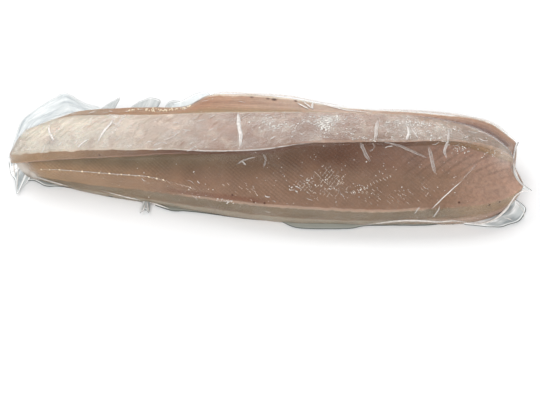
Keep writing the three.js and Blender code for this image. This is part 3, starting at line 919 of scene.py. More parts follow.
# %% The margins, in mm
MARGINS = {
    # height of the folds that fan out, and of those along the rim, darkness of the rim (partly a
    # painted reflection), greyness (a painted shadow of the meat) and streakiness (painted
    # highlight and shade) of the film, then the line where it leaves the meat, and its free edge
    "tail_corner": (0.6, 1.6, 0.2, 0.0, 0.6, [
        (-236, -10, 20), (-229, 8, 26), (-220, 28, 26), (-196, 36, 30), (-166, 40, 28),
    ], [
        (-249, -4, 20), (-248.8, 13, 17), (-248.7, 27, 15), (-248.6, 43, 13), (-246, 57, 13.5),
        (-236, 68, 15), (-225, 76, 18), (-214, 79, 23), (-204.5, 79.5, 30), (-197, 78.5, 26),
        (-186, 75, 20), (-170, 75, 14),
    ]),
    "back_lobe_tail": (0.5, 0.0, 0.1, 0.3, 0.5, [(-172, 38, 24), (-162, 40, 24), (-152, 40, 24)], [
        (-172, 68, 13), (-162, 75, 17), (-148, 79.5, 22.5), (-157, 71, 14),
    ]),
    "back_lobe_middle": (0.5, 0.0, 0.1, 0.3, 0.5, [(-144, 40, 22), (-126, 40, 22), (-110, 40, 22)], [
        (-142, 70, 13), (-129, 77, 19), (-116, 79.5, 22.5), (-107, 78, 19), (-114, 70, 13),
    ]),
    "hump_web": (0.2, 0.0, 0.1, 0.0, 0.3, [(-92, 42, 43), (-77, 44, 44), (-66, 49.5, 46), (-54, 55, 48.5)], [
        (-90, 50, 42), (-80, 53, 44), (-70, 58, 47), (-58, 60, 49.5),
    ]),
    "back_lobe_head": (0.4, 0.0, 0.15, 0.25, 0.15, [(-108, 40, 22), (-84, 41, 24), (-60, 42, 30)], [
        (-105, 70, 13), (-98, 78.5, 18), (-79, 78.5, 18), (-62, 74, 24),
    ]),
    "tail_point": (0.5, 0.3, 0.5, 0.1, 1.0, [
        (-238, -8, 20), (-235, -10, 14), (-232, -11, 9), (-226, -12, 6),
    ], [
        (-249, -6, 18), (-247.8, -12, 14), (-246.5, -16.4, 9), (-243, -19.5, 5.5), (-241, -27, 3.2),
        (-238.7, -36, 2.5), (-236.4, -28.3, 2.5), (-233.6, -24, 2.5), (-231, -19, 3),
    ]),
    "tail_hem": (0.2, 0.4, 1.0, 0.5, 1.2, [
        (-230, -10, 6), (-215, -13, 4), (-200, -16, 3), (-180, -21, 3),
    ], [
        (-232.5, -18.5, 2.5), (-226, -17.7, 2.3), (-221, -20, 2), (-214.5, -24, 1.8),
        (-208.5, -25.3, 1.8), (-202.8, -24.6, 1.8), (-189, -27, 1.8), (-178, -30, 1.8),
    ]),
    "tail_slip": (0.2, 0.2, 1.0, 0.6, 0.6, [(-157, -28, 3), (-140, -33, 3), (-118, -39, 3)], [
        (-155, -34, 1.6), (-149, -38.3, 1.6), (-142, -38.6, 1.6), (-133, -40.4, 1.6),
        (-117.5, -45, 1.6),
    ]),
    "crumple": (0.4, 0.2, 0.6, 0.4, 1.0, [(-118, -41, 4), (-112, -43, 4), (-108.5, -44, 4)], [
        (-116.5, -47, 2.5), (-116, -54.3, 2.5), (-118.5, -60.7, 2.5), (-113.2, -56.5, 4),
        (-110, -60.5, 3), (-109.3, -48, 2.5),
    ]),
    "belly_hem": (0.2, 0.3, 1.0, 0.95, 0.5, [
        (-105, -42, 3), (-88, -48, 3), (-60, -54, 3), (-14, -62, 3), (15, -62, 5), (40, -66, 9),
        (80, -67, 9), (110, -67, 6), (150, -66, 5), (172, -64, 4),
    ], [
        (-105, -49.3, 1.6), (-88, -56.5, 1.6), (-76, -56.8, 1.6), (-43, -62, 1.6), (-14, -67, 1.6),
        (7, -68.6, 1.6), (15, -70, 1.6), (24, -75.5, 1.6), (32, -78, 1.6), (61, -79.2, 1.6),
        (82, -78.3, 1.6), (92, -75.8, 1.6), (118, -74.8, 1.6), (155, -74.4, 1.6), (172, -71.6, 1.6),
    ]),
    "cut_end_corner": (0.35, 0.7, 1.0, 0.12, 1.4, [
        (180, -64, 4), (204, -56, 5), (222, -44, 10), (230, -46, 20),
    ], [
        (188, -73.5, 1.6), (209.5, -76.4, 1.6), (222, -76.4, 1.6), (231, -73.2, 1.8), (239.5, -70, 2),
        (246, -62, 4.5), (247.4, -58, 6.5), (243.5, -55, 10), (235, -55.5, 17),
    ]),
    "cut_end_web": (0.2, 0.2, 1.0, 0.0, 0.4, [
        (234, -51, 30), (227, -45, 36), (223, -38, 40), (220, -27, 40), (224, -14, 35), (235, 3, 26),
    ], [
        (249, -57.5, 31), (240.5, -52, 34.5), (235.5, -43, 38.5), (233.5, -34, 41),
        (235.5, -21.5, 41), (240.5, -8, 36), (246.5, 7, 31),
    ]),
}
FILM_WALL = 0.35
MARGIN_FACET = 1.6
FAN_FOLD_SPACING = 13
FAN_FOLD_HEIGHT = 1.6
RIM_FOLD_PITCH = 8.0
RIM_FOLD_HEIGHT = 0.6


def margin(name, fanned, rimwise, dark, grey, streaky, root, rim):
    """A loose margin: a sheet from its root on the meat to its free edge, with folds."""
    inner, outer = line_through(root), line_through(rim)
    reach = np.mean(np.linalg.norm(outer(np.linspace(0, 1, 9)) - inner(np.linspace(0, 1, 9)), axis=1))
    along = max(10, round(outer.length / MARGIN_FACET))
    out_count = max(6, round(reach / MARGIN_FACET))
    bpy.ops.mesh.primitive_grid_add(x_subdivisions=along, y_subdivisions=out_count, size=1)
    piece = bpy.context.object
    piece.name = name
    grid = points_of(piece)
    shares, outs = np.clip(grid[:, 0] + 0.5, 0, 1), np.clip(grid[:, 1] + 0.5, 0, 1)
    starts, ends = inner(shares), outer(shares)
    sheet = starts + (ends - starts) * outs[:, None]
    run, gone = shares * outer.length, outs * reach

    fan = 1 - np.abs(soft_noise(np.stack([run, 0.15 * gone, 0 * run], axis=1) * MM, FAN_FOLD_SPACING, 21))
    sway = soft_noise(np.stack([run, gone, 0 * run], axis=1) * MM, 30, 22)
    rim_folds = np.sin(2 * math.pi * (gone / RIM_FOLD_PITCH + 0.7 * sway))
    sheet[:, 2] += outs * FAN_FOLD_HEIGHT * fanned * (fan**3 - 0.35)
    sheet[:, 2] += np.sin(math.pi * np.clip(outs, 0, 1)) * rimwise * rim_folds * RIM_FOLD_HEIGHT
    sheet[:, 2] = np.maximum(sheet[:, 2], 0.3)
    place_points(piece, sheet * MM)
    # how far the rim is, and the two directions of the streaks: across them and along them
    paint(piece, "rim_gap", (1 - outs) * np.linalg.norm(ends - starts, axis=1) * MM)
    paint(piece, "cross_streak", (run if rimwise < fanned else gone) * MM)
    paint(piece, "down_streak", (gone if rimwise < fanned else run) * MM)
    # dark rim line: partly a painted reflection; grey: a painted shadow of the meat; streaks: painted
    # highlight and shade
    paint(piece, "dark", np.full(len(outs), dark))
    paint(piece, "grey", np.full(len(outs), grey))
    # the film at the tail tip is crumpled the most, so its painted highlight and shade streaks are strongest
    # there
    paint(piece, "streaky", streaky * (1 + 0.9 * smoothstep(-230, -242, sheet[:, 0])))
    finish_with(piece, "SUBSURF", levels=1, render_levels=1)
    finish_with(piece, "SOLIDIFY", thickness=FILM_WALL * MM, offset=0)
    keep_above(piece, 0.02)
    return piece


bpy.ops.object.select_all(action="DESELECT")
margins = [margin("bag_margin_" + name, *facts) for name, facts in MARGINS.items()]
print(len(margins), "margins,", sum(len(m.data.polygons) for m in margins), "faces")

# %% [markdown]
# ## Materials: one function for nodes
#
# Every material below is built from nodes in code. One small function adds a node, sets
# it, and fills its sockets by name, with a value or with another node's output.

# %% Colours and nodes
def colour(code):
    """A colour written as sRGB hex, turned into the linear values that shaders use."""
    parts = [int(code[i:i + 2], 16) / 255 for i in (1, 3, 5)]
    linear = [p / 12.92 if p <= 0.04045 else ((p + 0.055) / 1.055) ** 2.4 for p in parts]
    return (*linear, 1)


def add(tree, kind, inputs=None, **settings):
    """Adds a node with its settings, and fills its sockets with values or other nodes."""
    new = tree.nodes.new(kind)
    for name, value in settings.items():
        setattr(new, name, value)
    for key, value in (inputs or {}).items():
        shown = [s for s in new.inputs if s.enabled]
        socket = shown[key] if isinstance(key, int) else next(s for s in shown if s.name == key)
        if isinstance(value, bpy.types.Node):
            value = next(s for s in value.outputs if s.enabled)
        if isinstance(value, bpy.types.NodeSocket):
            tree.links.new(value, socket)
        else:
            socket.default_value = value
    return new


def new_material(name):
    """An empty material that uses nodes, and its tree."""
    made = bpy.data.materials.new(name)
    made.use_nodes = True
    made.node_tree.nodes.clear()
    return made, made.node_tree


def show(tree, shader):
    """Makes a shader what the material shows."""
    add(tree, "ShaderNodeOutputMaterial", {"Surface": shader})


def dress(pieces, material):
    """Gives pieces one material."""
    for piece in pieces:
        piece.data.materials.clear()
        piece.data.materials.append(material)


# %% [markdown]
# ## Raw tuna
#
# Raw tuna under film is a translucent, moist, brown-pink meat. The zones differ: the top
# face is pale and silvery where the connective skin was, and paler still by a painted
# reflection of the overhead light in its film; the hollow face is brown and darkest under
# the ridge, partly darker meat and partly painted shade; the low strip is grey-green, partly
# a painted sheen of the film; the belly flap is redder. They are all made of a few tissues,
# so each tissue has one colour, and a zone only says which tissues it runs through from the
# tail to the cut end, and where. Some of those colours also stand for painted light, as the
# zones say. The row number stored with the points tells the zones apart. Light enters the
# meat and comes out reddened, which subsurface scattering gives. Over that lie seams,
# mottling, muscle lines and blood spots.

# %% The tissues, each with one colour
TISSUES = {
    "fat": "#e8e0d4",       # creamy fat and the thin white skin over it
    "skinned": "#c8b0a0",   # pale meat that the silvery skin was cut from
    "pink": "#b49484",      # pink meat
    "fresh": "#b48c74",     # salmon-coloured meat just under the skin
    # On the belly rows this pale grey also stands for a painted sheen of the film over the rounded belly.
    "lining_and_sheen": "#a09484",    # the grey lining of the belly
    "tan": "#a4886c",       # meat that has dried tan
    "brown": "#866a58",     # brown muscle
    # On the low strip this grey is partly a painted sheen of the film mirroring the pale floor.
    "grey": "#7c6c58",      # muscle with a grey-green cast
    # The dark tissue is dark meat; in the hollow and lip zones it also stands for painted shade under the
    # ridge.
    "dark": "#684838",      # dark meat where the backbone was
    "blood": "#704030",     # clotted blood along a cut
}

# %% Zones of the meat: its rows, how soft its first border is, and where each tissue is pure, in mm
ZONES = [
    # The face's pink stop at the cut end is partly paler meat and partly painted light, where that end turns
    # up towards the light.
    ("face", (1.9, 8.2), 0.12, {-215: "tan", -60: "brown", 165: "brown", 245: "pink"}),
    # The hollow under the lip is painted darker than the face: partly darker meat, partly painted shade of
    # the overhanging ridge.
    ("hollow", (5.6, 8.2), 1.2, {-120: "grey", 70: "dark", 245: "pink"}),
    # The strip's grey is partly muscle colour and partly a painted sheen of the film on this steep side.
    ("strip", (0.9, 1.95), 0.5, {-110: "grey", 160: "grey", 230: "tan"}),
    # The belly rows are paler: partly their own grey, partly a painted sheen of the film on the rounded
    # belly.
    ("belly", (-1.0, 0.9), 0.5, {120: "lining_and_sheen", 230: "pink"}),
    # The top face's pale stops are partly the meat's own paleness and partly a painted reflection of the
    # overhead light in the film, most at the tail end.
    ("top", (9.0, 13.0), 0.2, {-180: "fat", -30: "pink", 80: "pink", 160: "skinned"}),
    # The lip's dark stops are partly dark meat and partly painted shade under the ridge.
    ("lip", (7.7, 8.95), 0.12, {-215: "tan", -90: "dark", 130: "dark", 235: "tan"}),
    ("gutter", (13.0, 15.4), 0.12, {90: "tan", 165: "dark"}),
    ("flap", (14.6, 17.4), 0.5, {-60: "fresh", 50: "skinned", 170: "fresh"}),
    ("underside", (17.4, 23.0), 0.12, {0: "tan"}),
]
ZONE_SOFT = 0.12
BORDER_WAVE = 8
HALF_LENGTH = cad_box[1][0] / MM

meat_material, tree = new_material("raw_tuna")
place = add(tree, "ShaderNodeTexCoord").outputs["Object"]
place_x = add(tree, "ShaderNodeSeparateXYZ", {"Vector": place}).outputs["X"]
row_read = add(tree, "ShaderNodeAttribute", attribute_name="row").outputs["Fac"]
across_read = add(tree, "ShaderNodeAttribute", attribute_name="across").outputs["Fac"]
length_share = add(tree, "ShaderNodeMapRange", {
    "Value": place_x, "From Min": -HALF_LENGTH * MM, "From Max": HALF_LENGTH * MM,
})
border_noise = add(tree, "ShaderNodeTexNoise", {
    "Vector": place, "Scale": 1 / (BORDER_WAVE * MM), "Detail": 3.0,
})
wobble = add(tree, "ShaderNodeMath", {0: border_noise, 1: 0.5}, operation="SUBTRACT")
# The borders waver a little more near the tail, where fat and meat interlock.
wavering = add(tree, "ShaderNodeMapRange", {
    "Value": place_x, "From Min": -150 * MM, "From Max": -60 * MM, "To Min": 0.4, "To Max": 0.3,
})
row_soft = add(tree, "ShaderNodeMath", {0: wobble, 1: wavering, 2: row_read}, operation="MULTIPLY_ADD")


def between_nodes(tree, value, low, high, soft, first_soft=None):
    """Nodes that give 1 where a value lies between low and high, with soft borders."""
    rise = first_soft or soft
    rising = add(tree, "ShaderNodeMapRange", {
        "Value": value, "From Min": low - rise, "From Max": low + rise,
    }, interpolation_type="SMOOTHSTEP")
    falling = add(tree, "ShaderNodeMapRange", {
        "Value": value, "From Min": high - soft, "From Max": high + soft, "To Min": 1.0, "To Max": 0.0,
    }, interpolation_type="SMOOTHSTEP")
    return add(tree, "ShaderNodeMath", {0: rising, 1: falling}, operation="MULTIPLY")


base = None
for name, (first, last), border, tissues in ZONES:
    run = add(tree, "ShaderNodeValToRGB", {"Fac": length_share}, label=name)
    stops = run.color_ramp.elements
    while len(stops) > len(tissues):
        stops.remove(stops[-1])
    while len(stops) < len(tissues):
        stops.new(1.0)
    for stop, (x_mm, tissue) in zip(stops, tissues.items()):
        stop.position = (x_mm + HALF_LENGTH) / (2 * HALF_LENGTH)
        stop.color = colour(TISSUES[tissue])
    if base is None:
        base = run
        continue
    share = between_nodes(tree, row_soft, first, last, ZONE_SOFT, border)
    base = add(tree, "ShaderNodeMix", {"Factor": share, "A": base, "B": run}, data_type="RGBA")
print("zones:", [zone[0] for zone in ZONES])

# %% Seams: lines of fat, film and blood that follow the edges
SEAMS = [
    # row and half its width in rows, from x to x in mm, tissue, strength
    (2.0, 0.13, -80, 150, "skinned", 0.35),
    (2.5, 0.26, -90, 0, "blood", 0.4),
    (9.0, 0.10, -240, -70, "fat", 0.6),
    (9.0, 0.2, 40, 130, "skinned", 0.45),
    (9.0, 0.42, 130, 240, "skinned", 0.5),
    (8.0, 0.12, -235, -60, "pink", 0.5),
    (13.15, 0.20, 80, 235, "blood", 0.8),
    (14.5, 1.2, 150, 250, "blood", 0.45),
    (13.1, 0.2, -235, 140, "fat", 0.6),
    (11.0, 2.3, -260, -228, "fat", 0.5),
    (15.0, 2.2, -240, -152, "lining_and_sheen", 0.6),
    (13.6, 0.35, -225, -150, "lining_and_sheen", 0.8),
    (15.8, 1.1, -150, -72, "tan", 0.5),
    (16.95, 0.3, -58, 240, "fat", 0.7),
    (15.6, 0.30, -58, 60, "blood", 0.2),
]
SEAM_SOFT = 12
for row_number, half, x_from, x_to, tissue, strength in SEAMS:
    on_row = between_nodes(tree, row_soft, row_number - half, row_number + half, 0.4 * half)
    on_x = between_nodes(tree, place_x, x_from * MM, x_to * MM, SEAM_SOFT * MM)
    share = add(tree, "ShaderNodeMath", {0: on_row, 1: on_x}, operation="MULTIPLY")
    share = add(tree, "ShaderNodeMath", {0: share, 1: strength}, operation="MULTIPLY")
    base = add(tree, "ShaderNodeMix", {
        "Factor": share, "A": base, "B": colour(TISSUES[tissue]),
    }, data_type="RGBA")

# %% Blotches on the pale top face
# Creamy where fat lies under the skin, and pink where meat does, about 12 mm across. The
# second pattern has a slightly other scale, so that the two don't fall on each other.
BLOTCH_SIZE = 12
BLOTCHES = [
    # what is added to the pattern's scale, tissue, strength
    (0.0, "fat", 0.5), (3.0, "pink", 0.4),
]
top_zone = between_nodes(tree, row_soft, 9.1, 12.9, 0.3)
for shift, tissue, strength in BLOTCHES:
    scale = 1 / (BLOTCH_SIZE * MM) + shift
    blotch = add(tree, "ShaderNodeTexNoise", {"Vector": place, "Scale": scale, "Detail": 4.0})
    blotch = add(tree, "ShaderNodeMapRange", {
        "Value": blotch, "From Min": 0.5, "From Max": 0.68, "To Max": strength,
    })
    share = add(tree, "ShaderNodeMath", {0: blotch, 1: top_zone}, operation="MULTIPLY")
    base = add(tree, "ShaderNodeMix", {
        "Factor": share, "A": base, "B": colour(TISSUES[tissue]),
    }, data_type="RGBA")

# %% Underside and end faces
# The underside is plain pale flesh. The end faces are cut across the muscle, whose
# segments show as nested rings about 7 mm apart.
RING_PITCH = 7
RING_CORE = (0, -12, 30)
under_read = add(tree, "ShaderNodeAttribute", attribute_name="under").outputs["Fac"]
end_read = add(tree, "ShaderNodeAttribute", attribute_name="end").outputs["Fac"]
base = add(tree, "ShaderNodeMix", {
    "Factor": under_read, "A": base, "B": colour(TISSUES["tan"]),
}, data_type="RGBA")
from_core = add(tree, "ShaderNodeVectorMath", {
    0: place, 1: [c * MM for c in RING_CORE],
}, operation="SUBTRACT")
squeezed = add(tree, "ShaderNodeVectorMath", {0: from_core, 1: (0, 1, 1.4)}, operation="MULTIPLY")
radius = add(tree, "ShaderNodeVectorMath", {0: squeezed}, operation="LENGTH").outputs["Value"]
ring_turns = add(tree, "ShaderNodeMath", {
    0: radius, 1: 2 * math.pi / (RING_PITCH * MM),
}, operation="MULTIPLY")
ring_wave = add(tree, "ShaderNodeMath", {0: ring_turns}, operation="COSINE")
ring = add(tree, "ShaderNodeMapRange", {"Value": ring_wave, "From Min": 0.6, "From Max": 1.0})
end_colour = add(tree, "ShaderNodeMix", {
    "Factor": ring, "A": colour(TISSUES["pink"]), "B": colour(TISSUES["skinned"]),
}, data_type="RGBA")
base = add(tree, "ShaderNodeMix", {"Factor": end_read, "A": base, "B": end_colour}, data_type="RGBA")

# %% Mottling
# Clouds of 25 mm, blotches of 4 mm and grain of 1.5 mm, a few per cent lighter or darker.
MOTTLING = [(25, 0.90, 1.09), (4, 0.95, 1.05), (1.5, 0.93, 1.07)]
tint = 1.0
for size, darkest, lightest in MOTTLING:
    clouds = add(tree, "ShaderNodeTexNoise", {"Vector": place, "Scale": 1 / (size * MM), "Detail": 3.0})
    ranged = add(tree, "ShaderNodeMapRange", {
        "Value": clouds, "From Min": 0.3, "From Max": 0.7, "To Min": darkest, "To Max": lightest,
    })
    tint = add(tree, "ShaderNodeMath", {0: ranged, 1: tint}, operation="MULTIPLY")

# Near the cut end the grain of the meat shows more strongly.
GRAIN_SIZE = 3.4
GRAIN_CONTRAST = 0.12
coarse = add(tree, "ShaderNodeTexNoise", {"Vector": place, "Scale": 1 / (GRAIN_SIZE * MM), "Detail": 3.0})
coarse = add(tree, "ShaderNodeMapRange", {
    "Value": coarse, "From Min": 0.35, "From Max": 0.65,
    "To Min": 1 - GRAIN_CONTRAST, "To Max": 1 + GRAIN_CONTRAST,
})
near_cut = add(tree, "ShaderNodeMapRange", {"Value": place_x, "From Min": 110 * MM, "From Max": 190 * MM})
coarse = add(tree, "ShaderNodeMix", {"Factor": near_cut, "A": 1.0, "B": coarse})
tint = add(tree, "ShaderNodeMath", {0: coarse, 1: tint}, operation="MULTIPLY")

# Painted shade: the hollow face is darkened most just under the ridge, where the lip
# overhangs it, and least above its lower edge, except near the cut end, where the hollow
# runs out and no shade is painted.
painted_hollow_shade = add(tree, "ShaderNodeMapRange", {
    "Value": row_read, "From Min": 2.4, "From Max": 7.4, "To Min": 1.0, "To Max": 0.86,
}, interpolation_type="SMOOTHSTEP")
run_out = add(tree, "ShaderNodeMapRange", {"Value": place_x, "From Min": 150 * MM, "From Max": 225 * MM})
painted_face_shade = add(tree, "ShaderNodeMix", {"Factor": run_out, "A": painted_hollow_shade, "B": 1.0})
# The top face is a little darker along the ridge than along its far edge.
top_depth = add(tree, "ShaderNodeMapRange", {
    "Value": row_read, "From Min": 9.0, "From Max": 12.2, "To Min": 0.88, "To Max": 1.06,
}, interpolation_type="SMOOTHSTEP")
beyond = add(tree, "ShaderNodeMath", {0: row_read, 1: 8.4}, operation="GREATER_THAN")
row_tint = add(tree, "ShaderNodeMix", {"Factor": beyond, "A": painted_face_shade, "B": top_depth})
tint = add(tree, "ShaderNodeMath", {0: tint, 1: row_tint}, operation="MULTIPLY")

# %% Muscle lines
# Fine lines every 4 mm slant down towards the cut end, crossed by fainter ones. Near the cut
# end, in the upper half of the face, wider ones 12 mm apart slant the other way. The belly
# flap is drawn in cords along its length, 1.7 and 4.3 mm apart.
warp = add(tree, "ShaderNodeTexNoise", {"Vector": place, "Scale": 1 / (60 * MM), "Detail": 1.0})
patchy = add(tree, "ShaderNodeTexNoise", {"Vector": place, "Scale": 1 / (22 * MM), "Detail": 2.0})
patchy = add(tree, "ShaderNodeMapRange", {
    "Value": patchy, "From Min": 0.35, "From Max": 0.6, "To Min": 0.25, "To Max": 1.0,
})
whole_face = between_nodes(tree, row_read, 2.3, 7.7, 0.3)
upper_face = between_nodes(tree, row_read, 4.8, 7.7, 0.8)
head_end = add(tree, "ShaderNodeMapRange", {
    "Value": place_x, "From Min": 108 * MM, "From Max": 150 * MM,
}, interpolation_type="SMOOTHSTEP")
head_upper = add(tree, "ShaderNodeMath", {0: head_end, 1: upper_face}, operation="MULTIPLY")
faded = add(tree, "ShaderNodeMapRange", {
    "Value": place_x, "From Min": 115 * MM, "From Max": 175 * MM, "To Min": 1.0, "To Max": 0.15,
})
fine_share = add(tree, "ShaderNodeMath", {0: whole_face, 1: patchy}, operation="MULTIPLY")
fine_share = add(tree, "ShaderNodeMath", {0: fine_share, 1: faded}, operation="MULTIPLY")
on_flap_rows = between_nodes(tree, row_read, 14.0, 17.2, 0.3)
LINES = [
    # share of x and of the distance across, pitch in mm, waviness, sharpness, depth, where
    (1.0, 1.1, 4.1, 0.9, -0.4, 0.2, fine_share),
    (1.0, -0.9, 4.6, 1.2, 0.2, 0.10, fine_share),
    (1.0, -SEGMENT_SLANT, SEGMENT_PITCH, 0.25, 0.3, 0.17, head_upper),
    (0.0, 1.0, 1.7, 1.4, 0.0, 0.16, on_flap_rows),
    (0.0, 1.0, 4.3, 0.8, 0.3, 0.14, on_flap_rows),
]
for x_share, slant, pitch, wavy, sharp, depth, where in LINES:
    slid_x = add(tree, "ShaderNodeMath", {0: place_x, 1: x_share}, operation="MULTIPLY")
    slid = add(tree, "ShaderNodeMath", {0: across_read, 1: slant, 2: slid_x}, operation="MULTIPLY_ADD")
    turns = add(tree, "ShaderNodeMath", {0: slid, 1: 2 * math.pi / (pitch * MM)}, operation="MULTIPLY")
    warped = add(tree, "ShaderNodeMath", {
        0: warp, 1: 2 * math.pi * wavy, 2: turns,
    }, operation="MULTIPLY_ADD")
    wave = add(tree, "ShaderNodeMath", {0: warped}, operation="COSINE")
    line = add(tree, "ShaderNodeMapRange", {
        "Value": wave, "From Min": sharp, "From Max": 1.0, "To Max": depth,
    })
    line = add(tree, "ShaderNodeMath", {0: line, 1: where}, operation="MULTIPLY")
    kept = add(tree, "ShaderNodeMath", {0: 1.0, 1: line}, operation="SUBTRACT")
    tint = add(tree, "ShaderNodeMath", {0: tint, 1: kept}, operation="MULTIPLY")
shaded = add(tree, "ShaderNodeVectorMath", {0: base, "Scale": tint}, operation="SCALE")

# %% Blood spots, as (x, y, z, radius) in mm
SPOTS = [
    (-66, 46, 46, 2.6), (-13, 48, 50, 2.0), (3, 46, 50, 2.0), (9, 45, 51, 2.4), (30, 44, 50, 1.6),
    (179, -72, 31, 1.0), (208, -71, 26, 1.0), (218, -67, 26, 1.0), (-155, -27, 47, 0.9),
    (-30, -63, 31, 1.0), (-10, -69, 28, 1.0), (0, -70, 28, 0.9),
]
spotted = shaded
for *spot, radius_mm in SPOTS:
    distance = add(tree, "ShaderNodeVectorMath", {
        0: place, 1: [c * MM for c in spot],
    }, operation="DISTANCE")
    near = add(tree, "ShaderNodeMapRange", {
        "Value": distance.outputs["Value"], "From Min": 0.6 * radius_mm * MM,
        "From Max": 1.6 * radius_mm * MM, "To Min": 0.9, "To Max": 0.0,
    })
    spotted = add(tree, "ShaderNodeMix", {
        "Factor": near, "A": spotted, "B": colour("#45231b"),
    }, data_type="RGBA")

# %% The meat's shader
# Raw fish: IOR near water's 1.36, half-rough under its moist skin, and light that wanders
# a few millimetres inside it, red furthest.
fine = add(tree, "ShaderNodeTexNoise", {"Vector": place, "Scale": 1 / (1.4 * MM), "Detail": 2.0})
bumped = add(tree, "ShaderNodeBump", {"Height": fine, "Strength": 0.35, "Distance": 0.4 * MM})
meat_shader = add(tree, "ShaderNodeBsdfPrincipled", {
    "Base Color": spotted, "Roughness": 0.5, "IOR": 1.38, "Normal": bumped,
    "Subsurface Weight": 0.25, "Subsurface Radius": (1.0, 0.42, 0.28), "Subsurface Scale": 4 * MM,
})
show(tree, meat_shader)
dress([meat], meat_material)
print("raw tuna:", len(tree.nodes), "nodes")

# %% [markdown]
# ## Clear nylon-polyethylene film
#
# Film this thin has no colour of its own. What the eye gets is the gloss on it, weak where
# it faces the eye and strong where it turns away, which a Fresnel factor gives between
# a Transparent and a Glossy shader. Glass with refraction could do the same, but a sheet
# of 0.1 mm bends nothing, and see-through shaders stay clean with few samples. Where the
# film has let go of the meat, a pale, rough, half-covering layer is laid over it: soft
# clouds, thin veins, and crisp patches about a millimetre wide.

# %% The tight film
film_material, tree = new_material("clear_vacuum_film")
place = add(tree, "ShaderNodeTexCoord").outputs["Object"]
veil_read = add(tree, "ShaderNodeAttribute", attribute_name="veil").outputs["Fac"]
crinkle = add(tree, "ShaderNodeTexNoise", {"Vector": place, "Scale": 1 / (3 * MM), "Detail": 3.0})
crinkled = add(tree, "ShaderNodeBump", {"Height": crinkle, "Strength": 0.35, "Distance": 0.4 * MM})
mirrored = add(tree, "ShaderNodeFresnel", {"IOR": 1.5, "Normal": crinkled})
# Film that is wetted through has one reflecting side, not two.
dry = add(tree, "ShaderNodeMapRange", {"Value": veil_read, "To Min": 0.12, "To Max": 0.8})
gloss_share = add(tree, "ShaderNodeMath", {0: mirrored, 1: dry}, operation="MULTIPLY")
clear = add(tree, "ShaderNodeBsdfTransparent", {"Color": colour("#fdfcfa")})
gloss = add(tree, "ShaderNodeBsdfGlossy", {
    "Color": colour("#ffffff"), "Roughness": 0.12, "Normal": crinkled,
})
bare_film = add(tree, "ShaderNodeMixShader", {0: gloss_share, 1: clear, 2: gloss})

# %% The milky layer: clouds, veins and crisp patches
streaky = add(tree, "ShaderNodeVectorMath", {0: place, 1: (0.5, 1, 1)}, operation="MULTIPLY")
cloud = add(tree, "ShaderNodeTexNoise", {"Vector": streaky, "Scale": 1 / (11 * MM), "Detail": 4.0})
cloud = add(tree, "ShaderNodeMapRange", {
    "Value": cloud, "From Min": 0.42, "From Max": 0.66, "To Min": 0.04, "To Max": 0.16,
})
# A vein runs wherever a soft noise passes its middle value.
vein = add(tree, "ShaderNodeTexNoise", {"Vector": streaky, "Scale": 1 / (5 * MM), "Detail": 3.0})
vein = add(tree, "ShaderNodeMath", {0: vein, 1: 0.5}, operation="SUBTRACT")
vein = add(tree, "ShaderNodeMath", {0: vein}, operation="ABSOLUTE")
vein = add(tree, "ShaderNodeMapRange", {
    "Value": vein, "From Min": 0.004, "From Max": 0.03, "To Min": 0.15, "To Max": 0.0,
})
vein_places = add(tree, "ShaderNodeTexNoise", {"Vector": place, "Scale": 1 / (16 * MM), "Detail": 1.0})
vein_places = add(tree, "ShaderNodeMapRange", {"Value": vein_places, "From Min": 0.42, "From Max": 0.6})
vein = add(tree, "ShaderNodeMath", {0: vein, 1: vein_places}, operation="MULTIPLY")
patch = add(tree, "ShaderNodeTexNoise", {"Vector": streaky, "Scale": 1 / (2.2 * MM), "Detail": 3.0})
patch = add(tree, "ShaderNodeMapRange", {
    "Value": patch, "From Min": 0.56, "From Max": 0.66, "To Max": 0.16,
})
place_x = add(tree, "ShaderNodeSeparateXYZ", {"Vector": place}).outputs["X"]
frosted = add(tree, "ShaderNodeMapRange", {"Value": place_x, "From Min": -40 * MM, "From Max": 10 * MM})
patch = add(tree, "ShaderNodeMath", {0: patch, 1: frosted}, operation="MULTIPLY")
milky_share = add(tree, "ShaderNodeMath", {0: cloud, 1: vein}, operation="ADD")
milky_share = add(tree, "ShaderNodeMath", {0: milky_share, 1: patch}, operation="ADD")
milky_share = add(tree, "ShaderNodeMath", {0: milky_share, 1: veil_read}, operation="MULTIPLY")
loose_read = add(tree, "ShaderNodeAttribute", attribute_name="loose").outputs["Fac"]
loose_share = add(tree, "ShaderNodeMapRange", {"Value": vein_places, "To Min": 0.75, "To Max": 1.15})
milky_share = add(tree, "ShaderNodeMath", {
    0: loose_read, 1: loose_share, 2: milky_share,
}, operation="MULTIPLY_ADD", use_clamp=True)
milky = add(tree, "ShaderNodeBsdfPrincipled", {
    "Base Color": colour("#e6e1da"), "Roughness": 0.35, "IOR": 1.5, "Normal": crinkled,
})
show(tree, add(tree, "ShaderNodeMixShader", {0: milky_share, 1: bare_film, 2: milky}))
dress([film], film_material)
print("film:", len(tree.nodes), "nodes")

# %% [markdown]
# ## Pinched film and frost
#
# Folded film is several sheets thick. Each sheet sends back a little light, so a fold is
# milky. Its two edges, where the film turns over, are milkier still, a painted highlight.
# Frost is ice: white, because it is full of tiny faces, and a little glossy.

# %% The folds' material
fold_material, tree = new_material("pinched_film")
place = add(tree, "ShaderNodeTexCoord").outputs["Object"]
side_read = add(tree, "ShaderNodeAttribute", attribute_name="side").outputs["Fac"]
milky_read = add(tree, "ShaderNodeAttribute", attribute_name="milky").outputs["Fac"]
turned_over = between_nodes(tree, side_read, 0.5, 0.85, 0.14)
uneven = add(tree, "ShaderNodeTexNoise", {"Vector": place, "Scale": 1 / (3.5 * MM), "Detail": 2.0})
patches = add(tree, "ShaderNodeMapRange", {
    "Value": uneven, "From Min": 0.3, "From Max": 0.6, "To Min": 0.65, "To Max": 1.0,
})
